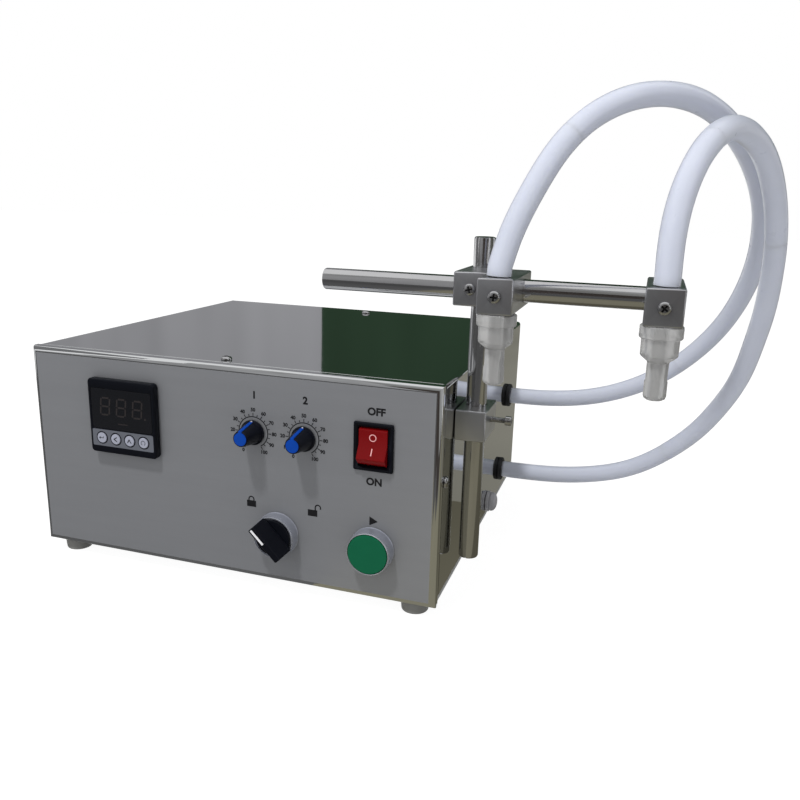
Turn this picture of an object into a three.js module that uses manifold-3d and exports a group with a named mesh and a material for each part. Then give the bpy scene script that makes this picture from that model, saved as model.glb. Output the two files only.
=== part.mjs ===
// Bench-top liquid filling machine with two nozzles: housing, control panel, rod stand, pumps and hoses.
// Millimetres, +Z up. It is drawn from the housing's front-bottom-left corner: X to the right,
// Y to the back, Z up from the control panel's lower edge. At the end the group is moved so that
// its origin lies on the surface under the feet, at the middle of the rigid pieces' box.

import * as THREE from 'three';
import { mergeVertices } from 'three/addons/utils/BufferGeometryUtils.js';
import Module from 'manifold-3d';

const wasm = await Module();
wasm.setup();

// Driving dimensions of the housing
const housing = { width: 286, height: 140, depth: 264 };
const sheet = { panel: 1.5, cover: 1.2, chassis: 1.2 };
const fold = { panelRadius: 4, coverRadius: 2.6 };
const panelReturn = 7;
const seam = 0.8;
const coverLift = 6.5;
const seat = 0.25;
const overrun = 5;
const weld = 0.4;

// Pieces of the housing
const foot = {
  radius: 9.2, soleRadius: 8.6, height: 8, inset: 16, fromFace: 13, edge: 0.8, boreRadius: 3.4, boreDeep: 3,
};
const coverScrew = {
  headRadius: 3.6, headTall: 2.2, shankRadius: 1.6, slotWide: 0.9, slotLong: 4, slotDeep: 1,
  rimShares: [1, 0.33], domeShares: [0.75, 0.85], topShare: 0.5,
};
const screwPlaces = { frontX: 138.8, frontY: 15.7, backX: 148, backFromRear: 17, sideY: 12.5, sideZ: 79 };
const tab = { wide: 30, reach: 25, tall: 26, riser: 3 };
const chassis = { sideFlange: 24, frontFlange: 18, rearInset: 1.6 };

// Controls on the panel, each with the place of its middle on the panel
const meter = {
  x: 73, fromTop: 41.2, side: 50, corner: 2.6, proud: 5.6, edge: 0.8,
  caseSide: 45, caseCorner: 2, caseBack: 78,
  windowWide: 46, windowTall: 27.5, windowRise: 5.3, windowCorner: 2, windowDeep: 1.4, windowThick: 1.1,
  clampSide: 56, clampTall: 53, clampDeep: 7,
};
const meterKey = { count: 4, pitch: 10.6, drop: 14.6, radius: 3.5, proud: 0.7, length: 3, travel: 0.6,
  edge: 0.5 };
const knob = {
  x: [165.4, 199.7], fromTop: 40.7,
  lift: 0.8, baseRadius: 8, skirt: 1, topRadius: 4.9, height: 16.8, edge: 0.7,
  wall: 1.2, cavityDeep: 3.4, stemRadius: 3, stemLength: 6,
};
const knobCap = { radius: 4.2, thick: 1.1, proud: 0.3, ribWide: 2.3, ribProud: 0.45, ribDeep: 1.3 };
const pot = {
  radius: 8.5, length: 10, bushRadius: 4.75, bushProud: 2.6, nutRadius: 6.1, nutTall: 1.6, lugWide: 11,
  lugLong: 5,
};
const rockerSwitch = {
  x: 245, fromTop: 40.3, wide: 25, tall: 30, proud: 2, corner: 1, edge: 0.5,
  openWide: 18.6, openTall: 24.9, bodyWide: 21.5, bodyTall: 27, bodyBack: 25, pitDeep: 13,
  pivotIn: 3.5, pivotRadius: 1.6, pivotReach: 1.1,
  rockerWide: 18, endRadius: 12.2, cornerAngle: 44.4, endAngle: 8, faceTilt: 15, bellyIn: 5,
  terminalTall: 8, terminalWide: 4.8, terminalThick: 0.8,
};
const unit22 = {
  baseRadius: 14.2, frontRadius: 13.6, lip: 0.9, neckRadius: 11, neckBore: 7, neckBack: 12,
  nutRadius: 14, nutTall: 4.5,
};
const selector = {
  x: 181.8, z: 34.3, proud: 8.6, sinkDeep: 1.2, discRadius: 12.9, discTall: 2,
  barLong: 26.4, barBase: 12, barFront: 4, barOut: 20.5, barEdge: 0.8, stemRadius: 6, stemLength: 16,
  restAngle: -45,
};
const start = {
  x: 245.2, z: 34.3, bezelProud: 9.5, discRadius: 12.6, proud: 0.4, discThick: 3, travel: 4,
  stemRadius: 6, stemLength: 16, edge: 0.5,
};
const contact = { wide: 29, tall: 40, length: 42, notch: 3, shoulder: 8 };

// Fittings on the right side
const grommet = {
  radius: 9.4, neckRadius: 8, proud: 3.4, inner: 3.4, edge: 1,
  fromRear: [47, 65], z: [85, 26],
};
const gland = {
  fromRear: 112, z: 14.6, baseRadius: 8, baseTall: 2.6, grooveRadius: 7.2, domeTall: 12, neckRadius: 5,
  nutRadius: 8,
  nutTall: 4, shoulderShare: 0.25, roundShare: 0.7,
};
const rod = { radius: 6.35, edge: 1, fit: 0.25 };
const bar = { side: 19, edge: 0.7 };
const lowerBlock = {
  front: 28.4, back: 62, fromTop: 39, boltRadius: 2.5, boltReach: 7, nutRadius: 4.2, nutTall: 3.2,
  boltInset: 5.5,
};
const mast = { x: 295.5, y: 46, bottom: 18, top: 222 };
const crossBlock = { front: 9.7, back: 56, belowTop: 36.7 };
const arm = { y: 19.4, left: 205.3, right: 407.2 };
const nozzleBlock = { lefts: [305.5, 388.8], front: -18, back: 42, boreY: -8 };
const setScrew = {
  headRadius: 3.4, headTall: 2.6, shankRadius: 1.9, socketRadius: 1.6, socketDeep: 1.4, edge: 0.5,
};
const clampScrew = { headRadius: 3, headTall: 4, shankRadius: 1.8, reach: 13, rise: 10.5 };
const nozzle = {
  spigotRadius: 5.5, collarRadius: 10.75, collarTall: 6.3, bodyRadius: 9.4, bodyTall: 9, chamfer: 3,
  neckRadius: 5.35, neckTall: 10, tipRadius: 5.7, tipTall: 9.7, tipEdge: 1.8, boreRadius: 3,
  outletRadius: 2, edge: 0.6,
};

// Hoses, with the points of their routes chosen by hand
const hose = { radius: 6.5, gap: 0.5 };
const hoseRoutes = [
  [[314, 217, 85.2], [338, 216, 87.5], [361, 213, 93], [383, 209, 102], [403.5, 204, 114.5],
    [421, 199, 130],
    [436, 192.5, 148], [446.5, 182.5, 167], [453, 170.5, 187], [456, 156.5, 206.5], [455.5, 141, 225],
    [452.3, 125.3, 243.1], [445.5, 109.4, 259.9], [435.5, 93.7, 275.2], [422.8, 77.3, 288.2],
    [408.4, 60.2, 297.2], [390.4, 43.9, 300.2], [372, 29, 297.3], [353.9, 16.5, 287.2],
    [338.9, 6.9, 270.8], [329.1, -0.4, 249.8], [318.7, -6.1, 226.9], [315.4, -7.8, 211.4]],
  [[313.5, 199, 26], [335.7, 198.1, 27.3], [359.4, 198.5, 30.7], [383.7, 198, 37.3], [402.8, 195.4, 47.9],
    [420, 190.1, 63.5], [435.5, 182.7, 81], [445.9, 173.8, 100.8], [453, 161.8, 118.3], [457.4, 149, 136.8],
    [459.5, 136.4, 159.5], [461.5, 124.1, 179.2], [460.8, 114.2, 200], [459.6, 105.1, 224],
    [455.5, 96.8, 244.6], [448.5, 84.5, 263.8], [439.3, 69.4, 277.2], [427.5, 49.7, 283.7],
    [417.5, 29, 281.5], [408.3, 11, 270.5], [401.2, -1.1, 252.7], [397.7, -7.3, 228.1], [398.4, -8, 209.8]],
];

// Pieces inside the housing and through the rear panel
const pump = {
  headSide: 52, headCorner: 6, headLength: 40, axisZ: 40, motorRadius: 19, motorLength: 72, motorEdge: 2,
  bellRadius: 12, bellLong: 6, footWide: 64, footTall: 3, portRadius: 6, ridgeRadius: 7, ridgeLong: 5,
  ridges: 3,
  portOut: 20, x: [120, 205], fromRear: [19, 37], elbowRadius: 8, elbowX: 150, spigot: 10,
};
const supply = {
  x: 12, y: 100, wide: 50, long: 100, tall: 35, terminalLong: 12, terminalTall: 22,
  slotWide: 30, slotLong: 2.5, slots: 8, slotDeep: 1.2,
};
const board = {
  x: 60, y: 30, wide: 90, long: 60, thick: 1.6, lift: 12, postRadius: 3, postInset: 5,
  relayWide: 16, relayLong: 20, relayTall: 15, relays: 3, relayPitch: 24, canRadius: 6, canTall: 20,
  stripWide: 60, stripLong: 8, stripTall: 11,
};
const inlet = {
  x: 45, z: 70, wide: 50, tall: 28, corner: 3, thick: 3, bodyWide: 28, bodyTall: 21, bodyCorner: 3,
  bodyDeep: 24,
  pitWide: 23, pitTall: 16, pitDeep: 17, pinWide: 2, pinTall: 5, pinLong: 13, pinPitch: 7, pinRise: 2,
};

// How finely round things are faceted
const sides = { fine: 24, medium: 16, small: 8, nut: 6, hose: 10 };
const hoseSteps = 24;
const arcSteps = 4;
const cornerSteps = 2;
const mergeShare = 1e-7;

const wallX = housing.width;
const roofZ = housing.height;
const innerTop = roofZ - sheet.cover - seat;
const rearPanelBack = housing.depth - chassis.rearInset;
const rearPanelFront = rearPanelBack - sheet.chassis;
const floorTop = sheet.chassis;

// Places that follow the housing's top edge or its rear
const meterZ = roofZ - meter.fromTop;
const knobPlaces = knob.x.map((x) => [x, roofZ - knob.fromTop]);
const rockerZ = roofZ - rockerSwitch.fromTop;
const lowerBlockBottom = roofZ - lowerBlock.fromTop;
const clampScrewZ = lowerBlockBottom + clampScrew.rise;
const crossBottom = mast.top - crossBlock.belowTop;
const glandY = housing.depth - gland.fromRear;
const grommetPlaces = grommet.fromRear.map((distance, i) => [housing.depth - distance, grommet.z[i]]);
const pumpBacks = pump.fromRear.map((distance) => housing.depth - distance);

// Finishes
function finish(color, roughness, metalness) {
  return new THREE.MeshStandardMaterial({ color, roughness, metalness });
}
const finishes = {
  panel: finish('#787b80', 0.5, 0.3),
  steel: finish('#c9ccd0', 0.18, 1),
  sheetSteel: finish('#a9acb0', 0.4, 0.9),
  aluminium: finish('#c3c5c8', 0.35, 0.9),
  zinc: finish('#9a9da1', 0.35, 0.9),
  rubber: finish('#141517', 0.75, 0),
  black: finish('#0d0e12', 0.4, 0),
  glass: finish('#16181c', 0.08, 0),
  key: finish('#b9bac6', 0.5, 0),
  blue: finish('#0a46b4', 0.4, 0),
  red: finish('#a3161a', 0.3, 0),
  green: finish('#0c5c3c', 0.4, 0),
  bezel: finish('#8d929b', 0.35, 0.6),
  clear: finish('#d3d3ea', 0.3, 0),
  board: finish('#1d5a34', 0.5, 0),
};

// Closed geometry with merged corners and its faces turned out
function closed(geometry) {
  const bare = geometry.index ? geometry.toNonIndexed() : geometry.clone();
  bare.deleteAttribute('normal');
  bare.deleteAttribute('uv');
  const merged = mergeVertices(bare, housing.width * mergeShare);
  const place = merged.getAttribute('position');
  const index = Array.from(merged.index.array);
  const corners = [];
  let volume = 0;
  for (let i = 0; i < index.length; i += 3) {
    const [a, b, c] = index.slice(i, i + 3);
    if (a === b || b === c || c === a) continue;
    const [p, q, r] = [a, b, c].map((k) => new THREE.Vector3().fromBufferAttribute(place, k));
    volume += p.dot(q.clone().cross(r));
    corners.push(a, b, c);
  }
  if (volume < 0) corners.reverse();
  merged.setIndex(corners);
  return merged;
}

function toSolid(geometry) {
  const shape = closed(geometry);
  return new wasm.Manifold(new wasm.Mesh({
    numProp: 3,
    vertProperties: new Float32Array(shape.getAttribute('position').array),
    triVerts: new Uint32Array(shape.index.array),
  }));
}

function toGeometry(solid) {
  const mesh = solid.getMesh();
  const geometry = new THREE.BufferGeometry();
  geometry.setAttribute('position', new THREE.BufferAttribute(mesh.vertProperties, 3));
  geometry.setIndex(new THREE.BufferAttribute(mesh.triVerts, 1));
  return geometry;
}

function joined(...geometries) {
  const [first, ...rest] = geometries.map(toSolid);
  return toGeometry(rest.reduce((all, next) => all.add(next), first));
}

function cut(geometry, ...cutters) {
  return toGeometry(cutters.map(toSolid).reduce((rest, cutter) => rest.subtract(cutter),
    toSolid(geometry)));
}

function common(geometry, limit) {
  return toGeometry(toSolid(geometry).intersect(toSolid(limit)));
}

// A straight block between two corners
function block(low, high) {
  const size = high.map((value, i) => value - low[i]);
  const geometry = new THREE.BoxGeometry(...size);
  geometry.translate(...high.map((value, i) => (value + low[i]) / 2));
  return geometry;
}

// Directions of a drawing: its first axis, its second axis and the way it is pulled
const drawings = {
  x: [new THREE.Vector3(0, 1, 0), new THREE.Vector3(0, 0, 1), new THREE.Vector3(1, 0, 0)],
  y: [new THREE.Vector3(1, 0, 0), new THREE.Vector3(0, 0, 1), new THREE.Vector3(0, -1, 0)],
  z: [new THREE.Vector3(1, 0, 0), new THREE.Vector3(0, 1, 0), new THREE.Vector3(0, 0, 1)],
};

// An outline pulled along an axis from one place to another, with its ends chamfered by edge.
// Along y the drawing is X and Z, along x it is Y and Z, along z it is X and Y.
function pulled(axis, outline, from, to, edge = 0, edgeSteps = 1) {
  const [low, high] = [Math.min(from, to), Math.max(from, to)];
  const geometry = new THREE.ExtrudeGeometry(outline, {
    depth: high - low - 2 * edge,
    steps: 1,
    curveSegments: cornerSteps,
    bevelEnabled: edge > 0,
    bevelSize: edge,
    bevelOffset: -edge,
    bevelThickness: edge,
    bevelSegments: edgeSteps,
  });
  geometry.translate(0, 0, edge);
  geometry.applyMatrix4(new THREE.Matrix4().makeBasis(...drawings[axis]));
  const offset = drawings[axis][2].clone().multiplyScalar(axis === 'y' ? -high : low);
  geometry.translate(offset.x, offset.y, offset.z);
  return geometry;
}

// Outlines
function rectangle(left, bottom, right, top, corner = 0) {
  const shape = new THREE.Shape();
  if (corner === 0) {
    shape.moveTo(left, bottom).lineTo(right, bottom).lineTo(right, top).lineTo(left, top).closePath();
    return shape;
  }
  shape.moveTo(left + corner, bottom);
  shape.lineTo(right - corner, bottom).absarc(right - corner, bottom + corner, corner, -Math.PI / 2, 0);
  shape.lineTo(right, top - corner).absarc(right - corner, top - corner, corner, 0, Math.PI / 2);
  shape.lineTo(left + corner, top).absarc(left + corner, top - corner, corner, Math.PI / 2, Math.PI);
  shape.lineTo(left, bottom + corner).absarc(left + corner, bottom + corner, corner, Math.PI,
    1.5 * Math.PI);
  return shape;
}

function middled(x, z, wide, tall, corner = 0) {
  return rectangle(x - wide / 2, z - tall / 2, x + wide / 2, z + tall / 2, corner);
}

function chamfered(left, bottom, right, top, edge) {
  return new THREE.Shape([
    [left + edge, bottom], [right - edge, bottom], [right, bottom + edge], [right, top - edge],
    [right - edge, top], [left + edge, top], [left, top - edge], [left, bottom + edge],
  ].map(([u, v]) => new THREE.Vector2(u, v)));
}

function polygon(points) {
  return new THREE.Shape(points.map(([u, v]) => new THREE.Vector2(u, v)));
}

// A turned piece: radii and distances along its axis, from a place towards a direction.
// The profile starts and ends on the axis, or closes on itself.
const towards = {
  front: new THREE.Vector3(0, -1, 0),
  back: new THREE.Vector3(0, 1, 0),
  right: new THREE.Vector3(1, 0, 0),
  left: new THREE.Vector3(-1, 0, 0),
  up: new THREE.Vector3(0, 0, 1),
};
function turned(profile, place, direction, facets = sides.medium) {
  const geometry = new THREE.LatheGeometry(profile.map(([r, a]) => new THREE.Vector2(r, a)), facets);
  const turn = new THREE.Quaternion().setFromUnitVectors(new THREE.Vector3(0, 1, 0), towards[direction]);
  geometry.applyQuaternion(turn);
  geometry.translate(...place);
  return geometry;
}

function rounded(radius, from, to, edge) {
  return [[0, from], [radius - edge, from], [radius, from + edge], [radius, to - edge],
    [radius - edge, to], [0, to]];
}

function cylinder(radius, from, to, place, direction, facets = sides.medium) {
  return turned([[0, from], [radius, from], [radius, to], [0, to]], place, direction, facets);
}

function named(name, geometry, material) {
  const shape = closed(geometry).toNonIndexed();
  shape.computeVertexNormals();
  const mesh = new THREE.Mesh(shape, material);
  mesh.name = name;
  return mesh;
}

// Folded front pan, open at the back, with the tabs that the cover's screws go into
function frontPanel() {
  const panLength = panelReturn + fold.panelRadius + overrun;
  const pan = (inset, from, length) => pulled('y', rectangle(inset, inset, wallX - inset, roofZ - inset),
    from, from + length, fold.panelRadius - inset, arcSteps);
  const outer = common(pan(0, 0, panLength), block([0, 0, 0], [wallX, panelReturn, roofZ]));
  const shell = cut(outer, pan(sheet.panel, sheet.panel, panLength));
  const tabTop = roofZ - sheet.panel;
  const left = screwPlaces.frontX - tab.wide / 2;
  const topTab = joined(
    block([left, panelReturn - tab.riser, tabTop - sheet.panel - seat],
      [left + tab.wide, tab.reach, tabTop - seat]),
    block([left, panelReturn - tab.riser, tabTop - sheet.panel],
      [left + tab.wide, panelReturn - seat, tabTop + weld]),
  );
  const low = screwPlaces.sideZ - tab.tall / 2;
  const sideTab = (side) => {
    const outerFace = side > 0 ? wallX - sheet.panel - seat : sheet.panel + seat;
    const innerFace = outerFace - side * sheet.panel;
    const riserFace = outerFace + side * (seat + weld);
    const [a, b] = [Math.min(outerFace, innerFace), Math.max(outerFace, innerFace)];
    const [c, d] = [Math.min(riserFace, innerFace), Math.max(riserFace, innerFace)];
    return joined(
      block([a, panelReturn - tab.riser, low], [b, tab.reach, low + tab.tall]),
      block([c, panelReturn - tab.riser, low], [d, panelReturn - seat, low + tab.tall]),
    );
  };
  const body = joined(shell, topTab, sideTab(1), sideTab(-1));
  const through = (outline) => pulled('y', outline, -overrun, overrun);
  const hole = (x, z, radius, facets) => cylinder(radius, -overrun, overrun, [x, 0, z], 'back', facets);
  const tapHole = coverScrew.shankRadius + seat;
  return cut(
    body,
    through(middled(meter.x, meterZ, meter.caseSide + 2 * seat, meter.caseSide + 2 * seat,
      meter.caseCorner + seat)),
    through(middled(rockerSwitch.x, rockerZ, rockerSwitch.bodyWide + 2 * seat,
      rockerSwitch.bodyTall + 2 * seat)),
    hole(selector.x, selector.z, unit22.neckRadius + seat, sides.medium),
    hole(start.x, start.z, unit22.neckRadius + seat, sides.medium),
    ...knobPlaces.map(([x, z]) => hole(x, z, pot.bushRadius + seat, sides.medium)),
    cylinder(tapHole, -overrun, overrun, [screwPlaces.frontX, screwPlaces.frontY, tabTop], 'up',
      sides.small),
    cylinder(tapHole, -overrun, overrun, [sheet.panel, screwPlaces.sideY, screwPlaces.sideZ], 'right',
      sides.small),
    cylinder(tapHole, -overrun, overrun, [wallX - sheet.panel, screwPlaces.sideY, screwPlaces.sideZ],
      'right', sides.small),
  );
}

// Cover: one sheet bent over the top and both sides
function topCover() {
  const outline = (inset, bottom) => {
    const radius = fold.coverRadius - inset;
    const [left, right, top] = [inset, wallX - inset, roofZ - inset];
    const shape = new THREE.Shape();
    shape.moveTo(left, bottom).lineTo(right, bottom).lineTo(right, top - radius);
    shape.absarc(right - radius, top - radius, radius, 0, Math.PI / 2);
    shape.lineTo(left + radius, top).absarc(left + radius, top - radius, radius, Math.PI / 2, Math.PI);
    return shape;
  };
  const front = panelReturn + seam;
  const skin = cut(
    pulled('y', outline(0, coverLift), front, housing.depth),
    pulled('y', outline(sheet.cover, coverLift - overrun), front - overrun, housing.depth + overrun),
  );
  const wallHole = (y, z, radius) => cylinder(radius, -overrun, overrun, [wallX, y, z], 'right');
  const screwHole = coverScrew.shankRadius + seat;
  const boltZ = lowerBlockBottom + bar.side / 2;
  const boltYs = [lowerBlock.front + lowerBlock.boltInset, lowerBlock.back - lowerBlock.boltInset];
  return cut(
    skin,
    ...grommetPlaces.map(([y, z]) => wallHole(y, z, grommet.neckRadius + seat)),
    wallHole(glandY, gland.z, gland.neckRadius + seat),
    ...boltYs.map((y) => wallHole(y, boltZ, lowerBlock.boltRadius + seat)),
    wallHole(screwPlaces.sideY, screwPlaces.sideZ, screwHole),
    cylinder(screwHole, -overrun, overrun, [0, screwPlaces.sideY, screwPlaces.sideZ], 'right', sides.small),
    cylinder(screwHole, -overrun, overrun, [screwPlaces.frontX, screwPlaces.frontY, roofZ], 'up',
      sides.small),
    cylinder(screwHole, -overrun, overrun,
      [screwPlaces.backX, housing.depth - screwPlaces.backFromRear, roofZ], 'up', sides.small),
  );
}

// Rear panel's outline, its upper corners cut off inside the cover's bends
function rearOutline(left, right) {
  const corner = fold.coverRadius;
  return polygon([
    [left, 0], [right, 0], [right, innerTop - corner], [right - corner, innerTop],
    [left + corner, innerTop], [left, innerTop - corner],
  ]);
}

// Chassis: bottom with low flanges, and the rear panel with its top tab
function chassisTray() {
  const left = sheet.cover + seat;
  const right = wallX - left;
  const front = panelReturn + seam;
  const plates = joined(
    block([left, front, 0], [right, rearPanelBack, floorTop]),
    block([left, front, 0], [left + sheet.chassis, rearPanelBack, chassis.sideFlange]),
    block([right - sheet.chassis, front, 0], [right, rearPanelBack, chassis.sideFlange]),
    block([left, front, 0], [right, front + sheet.chassis, chassis.frontFlange]),
    pulled('y', rearOutline(left, right), rearPanelFront, rearPanelBack),
    block(
      [screwPlaces.backX - tab.wide / 2, rearPanelBack - tab.reach, innerTop - sheet.chassis],
      [screwPlaces.backX + tab.wide / 2, rearPanelBack, innerTop],
    ),
  );
  const rearHole = (x, z, radius) => cylinder(radius, -overrun, overrun, [x, rearPanelFront, z], 'back');
  return cut(
    plates,
    ...pump.x.map((x) => rearHole(x, pump.axisZ, pump.ridgeRadius + seat)),
    pulled('y',
      middled(inlet.x, inlet.z, inlet.bodyWide + 2 * seat, inlet.bodyTall + 2 * seat, inlet.bodyCorner),
      rearPanelFront - overrun, rearPanelBack + overrun),
    cylinder(gland.neckRadius + seat, -overrun, overrun, [right, glandY, gland.z], 'right'),
    ...grommetPlaces.map(([y, z]) => cylinder(grommet.radius + seat, -overrun, overrun, [right, y, z],
      'right')),
    cylinder(coverScrew.shankRadius + seat, -overrun, overrun,
      [screwPlaces.backX, housing.depth - screwPlaces.backFromRear, innerTop], 'up', sides.small),
  );
}

function footPiece(x, y) {
  return turned([
    [0, foot.boreDeep], [foot.boreRadius, foot.boreDeep], [foot.boreRadius, 0],
    [foot.soleRadius - foot.edge, 0],
    [foot.soleRadius, foot.edge], [foot.radius, foot.height - foot.edge],
    [foot.radius - foot.edge, foot.height - seat], [0, foot.height - seat],
  ], [x, y, -foot.height], 'up');
}

// Cross-slotted round-head screw, head outwards from the face that it holds
function coverScrewPiece(place, direction, grip) {
  const { headRadius, headTall, shankRadius, slotWide, slotLong, slotDeep } = coverScrew;
  const { rimShares, domeShares, topShare } = coverScrew;
  const body = turned([
    [0, -grip], [shankRadius, -grip], [shankRadius, seat], [headRadius, seat],
    [headRadius * rimShares[0], headTall * rimShares[1]],
    [headRadius * domeShares[0], headTall * domeShares[1]],
    [headRadius * topShare, headTall], [0, headTall],
  ], place, direction, sides.small);
  const out = towards[direction];
  const slots = [0, 1].map((turn) => {
    const span = new THREE.Vector3(slotLong, slotWide, 2 * slotDeep);
    const slot = new THREE.BoxGeometry(span.x, span.y, span.z);
    slot.rotateZ(turn * Math.PI / 2);
    slot.applyQuaternion(new THREE.Quaternion().setFromUnitVectors(new THREE.Vector3(0, 0, 1), out));
    slot.translate(...place.map((value, i) => value + out.getComponent(i) * headTall));
    return slot;
  });
  return cut(body, ...slots);
}

// Panel meter: bezel and case in one moulding, with its window's and keys' seats
function meterHousing() {
  const keyZ = meterZ - meterKey.drop;
  const bezel = pulled('y', middled(meter.x, meterZ, meter.side, meter.side, meter.corner), -meter.proud,
    -seat, meter.edge, 2);
  const body = pulled('y', middled(meter.x, meterZ, meter.caseSide, meter.caseSide, meter.caseCorner),
    -seat - weld, meter.caseBack);
  const windowSeat = pulled('y',
    middled(meter.x, meterZ + meter.windowRise, meter.windowWide, meter.windowTall, meter.windowCorner),
    -meter.proud - overrun, -meter.proud + meter.windowDeep);
  const seatDeep = meterKey.length - meterKey.proud + meterKey.travel + seat;
  return cut(
    joined(bezel, body),
    windowSeat,
    ...keyPlaces().map((x) => cylinder(meterKey.radius + seat, -overrun, seatDeep,
      [x, -meter.proud, keyZ], 'back', sides.small)),
  );
}

function keyPlaces() {
  const middle = (meterKey.count - 1) / 2;
  return Array.from({ length: meterKey.count }, (_, i) => meter.x + (i - middle) * meterKey.pitch);
}

function meterWindow() {
  const [wide, tall] = [meter.windowWide - 2 * seat, meter.windowTall - 2 * seat];
  const back = -meter.proud + meter.windowDeep - seat;
  return pulled('y', middled(meter.x, meterZ + meter.windowRise, wide, tall, meter.windowCorner - seat),
    back - meter.windowThick, back);
}

function meterKeyPiece(x) {
  return turned(rounded(meterKey.radius, -meterKey.length + meterKey.proud, meterKey.proud, meterKey.edge),
    [x, -meter.proud, meterZ - meterKey.drop], 'front', sides.small);
}

function meterClamp() {
  const from = sheet.panel + seat;
  const outline = middled(meter.x, meterZ, meter.clampSide, meter.clampTall, meter.caseCorner);
  outline.holes.push(middled(meter.x, meterZ, meter.caseSide + 2 * seat, meter.caseSide + 2 * seat,
    meter.caseCorner));
  return pulled('y', outline, from, from + meter.clampDeep);
}

// Potentiometer: body behind the panel, threaded bush and nut in front of it
function potentiometer([x, z]) {
  const { radius, length, bushRadius, bushProud, nutRadius, nutTall, lugWide, lugLong } = pot;
  const back = -sheet.panel - seat;
  const bore = knob.stemRadius + seat;
  const boreEnd = knob.lift - knob.stemLength - 2 * seat;
  const body = turned([
    [0, back - length], [radius, back - length], [radius, back], [bushRadius, back],
    [bushRadius, bushProud],
    [bore, bushProud], [bore, boreEnd], [0, boreEnd],
  ], [x, 0, z], 'front');
  const nut = turned([
    [bushRadius - weld, seat], [nutRadius, seat], [nutRadius, seat + nutTall],
    [bushRadius - weld, seat + nutTall],
    [bushRadius - weld, seat],
  ], [x, 0, z], 'front', sides.nut);
  const lugs = block([x - lugWide / 2, -back + length / 3, z - radius - lugLong],
    [x + lugWide / 2, -back + length / 2, z - radius + lugLong]);
  return joined(body, nut, lugs);
}

// Half width of the knob's tapering body at a distance from the panel
function knobRadiusAt(along) {
  const skirtTop = knob.lift + knob.skirt;
  const share = (along - skirtTop) / (knob.height - skirtTop);
  return knob.baseRadius + (knob.topRadius - knob.baseRadius) * share;
}

// Outline of the cap's pointer rib, from the knob's middle to its skirt
function pointerOutline(outwards, inwards, topOver) {
  const skirtTop = knob.lift + knob.skirt;
  const top = knob.height + topOver;
  const bottomEdge = knobRadiusAt(skirtTop);
  const topEdge = knobRadiusAt(knob.height);
  return [
    [top, 0], [top, topEdge + outwards], [skirtTop - inwards + knobCap.ribDeep, bottomEdge + outwards],
    [skirtTop - inwards + knobCap.ribDeep, bottomEdge - knobCap.ribDeep - inwards],
    [knob.height - knobCap.thick - inwards, topEdge - knobCap.ribDeep - inwards],
    [knob.height - knobCap.thick - inwards, 0],
  ];
}

// The rib's outline holds distance from the panel and height over the knob's axis
function pointerRib([x, z], outwards, inwards, topOver, wide) {
  const points = pointerOutline(outwards, inwards, topOver);
  const outline = polygon(points.map(([along, rise]) => [-along, z + rise]));
  return pulled('x', outline, x - wide / 2, x + wide / 2);
}

function knobBody(place) {
  const { lift, baseRadius, skirt, topRadius, height, edge, wall, cavityDeep, stemRadius,
    stemLength } = knob;
  const profile = [
    [0, lift - stemLength], [stemRadius, lift - stemLength], [stemRadius, lift + cavityDeep],
    [baseRadius - wall, lift + cavityDeep], [baseRadius - wall, lift], [baseRadius, lift],
    [baseRadius, lift + skirt],
    [knobRadiusAt(height - edge), height - edge], [topRadius - edge, height], [0, height],
  ];
  const [x, z] = place;
  return cut(
    turned(profile, [x, 0, z], 'front', sides.fine),
    cylinder(knobCap.radius + seat, height - knobCap.thick - seat, height + overrun, [x, 0, z], 'front'),
    pointerRib(place, overrun, seat, overrun, knobCap.ribWide + 2 * seat),
  );
}

function knobCapPiece(place) {
  const { radius, thick, proud, ribWide, ribProud } = knobCap;
  const [x, z] = place;
  const disc = turned(rounded(radius, knob.height - thick, knob.height + proud, proud), [x, 0, z], 'front');
  return joined(disc, pointerRib(place, ribProud, 0, proud, ribWide));
}

// Rocker switch: bezel and body with an open pit, pivot holes in its side walls
function rockerFrame() {
  const s = rockerSwitch;
  const pivotWide = s.rockerWide + 2 * s.pivotReach + 2 * seat;
  const bezel = pulled('y', middled(s.x, rockerZ, s.wide, s.tall, s.corner), -s.proud, -seat, s.edge);
  const body = pulled('y', middled(s.x, rockerZ, s.bodyWide, s.bodyTall), -seat - weld, s.bodyBack);
  const terminal = (rise) => block(
    [s.x - s.terminalWide / 2, s.bodyBack - weld, rockerZ + rise - s.terminalThick / 2],
    [s.x + s.terminalWide / 2, s.bodyBack + s.terminalTall, rockerZ + rise + s.terminalThick / 2],
  );
  const rises = [-s.bodyTall / 4, 0, s.bodyTall / 4];
  return cut(
    joined(bezel, body, ...rises.map(terminal)),
    pulled('y', middled(s.x, rockerZ, s.openWide, s.openTall), -s.proud - overrun, s.pitDeep),
    cylinder(s.pivotRadius + seat, -pivotWide / 2, pivotWide / 2, [s.x, s.pivotIn, rockerZ], 'right',
      sides.small),
  );
}

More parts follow.
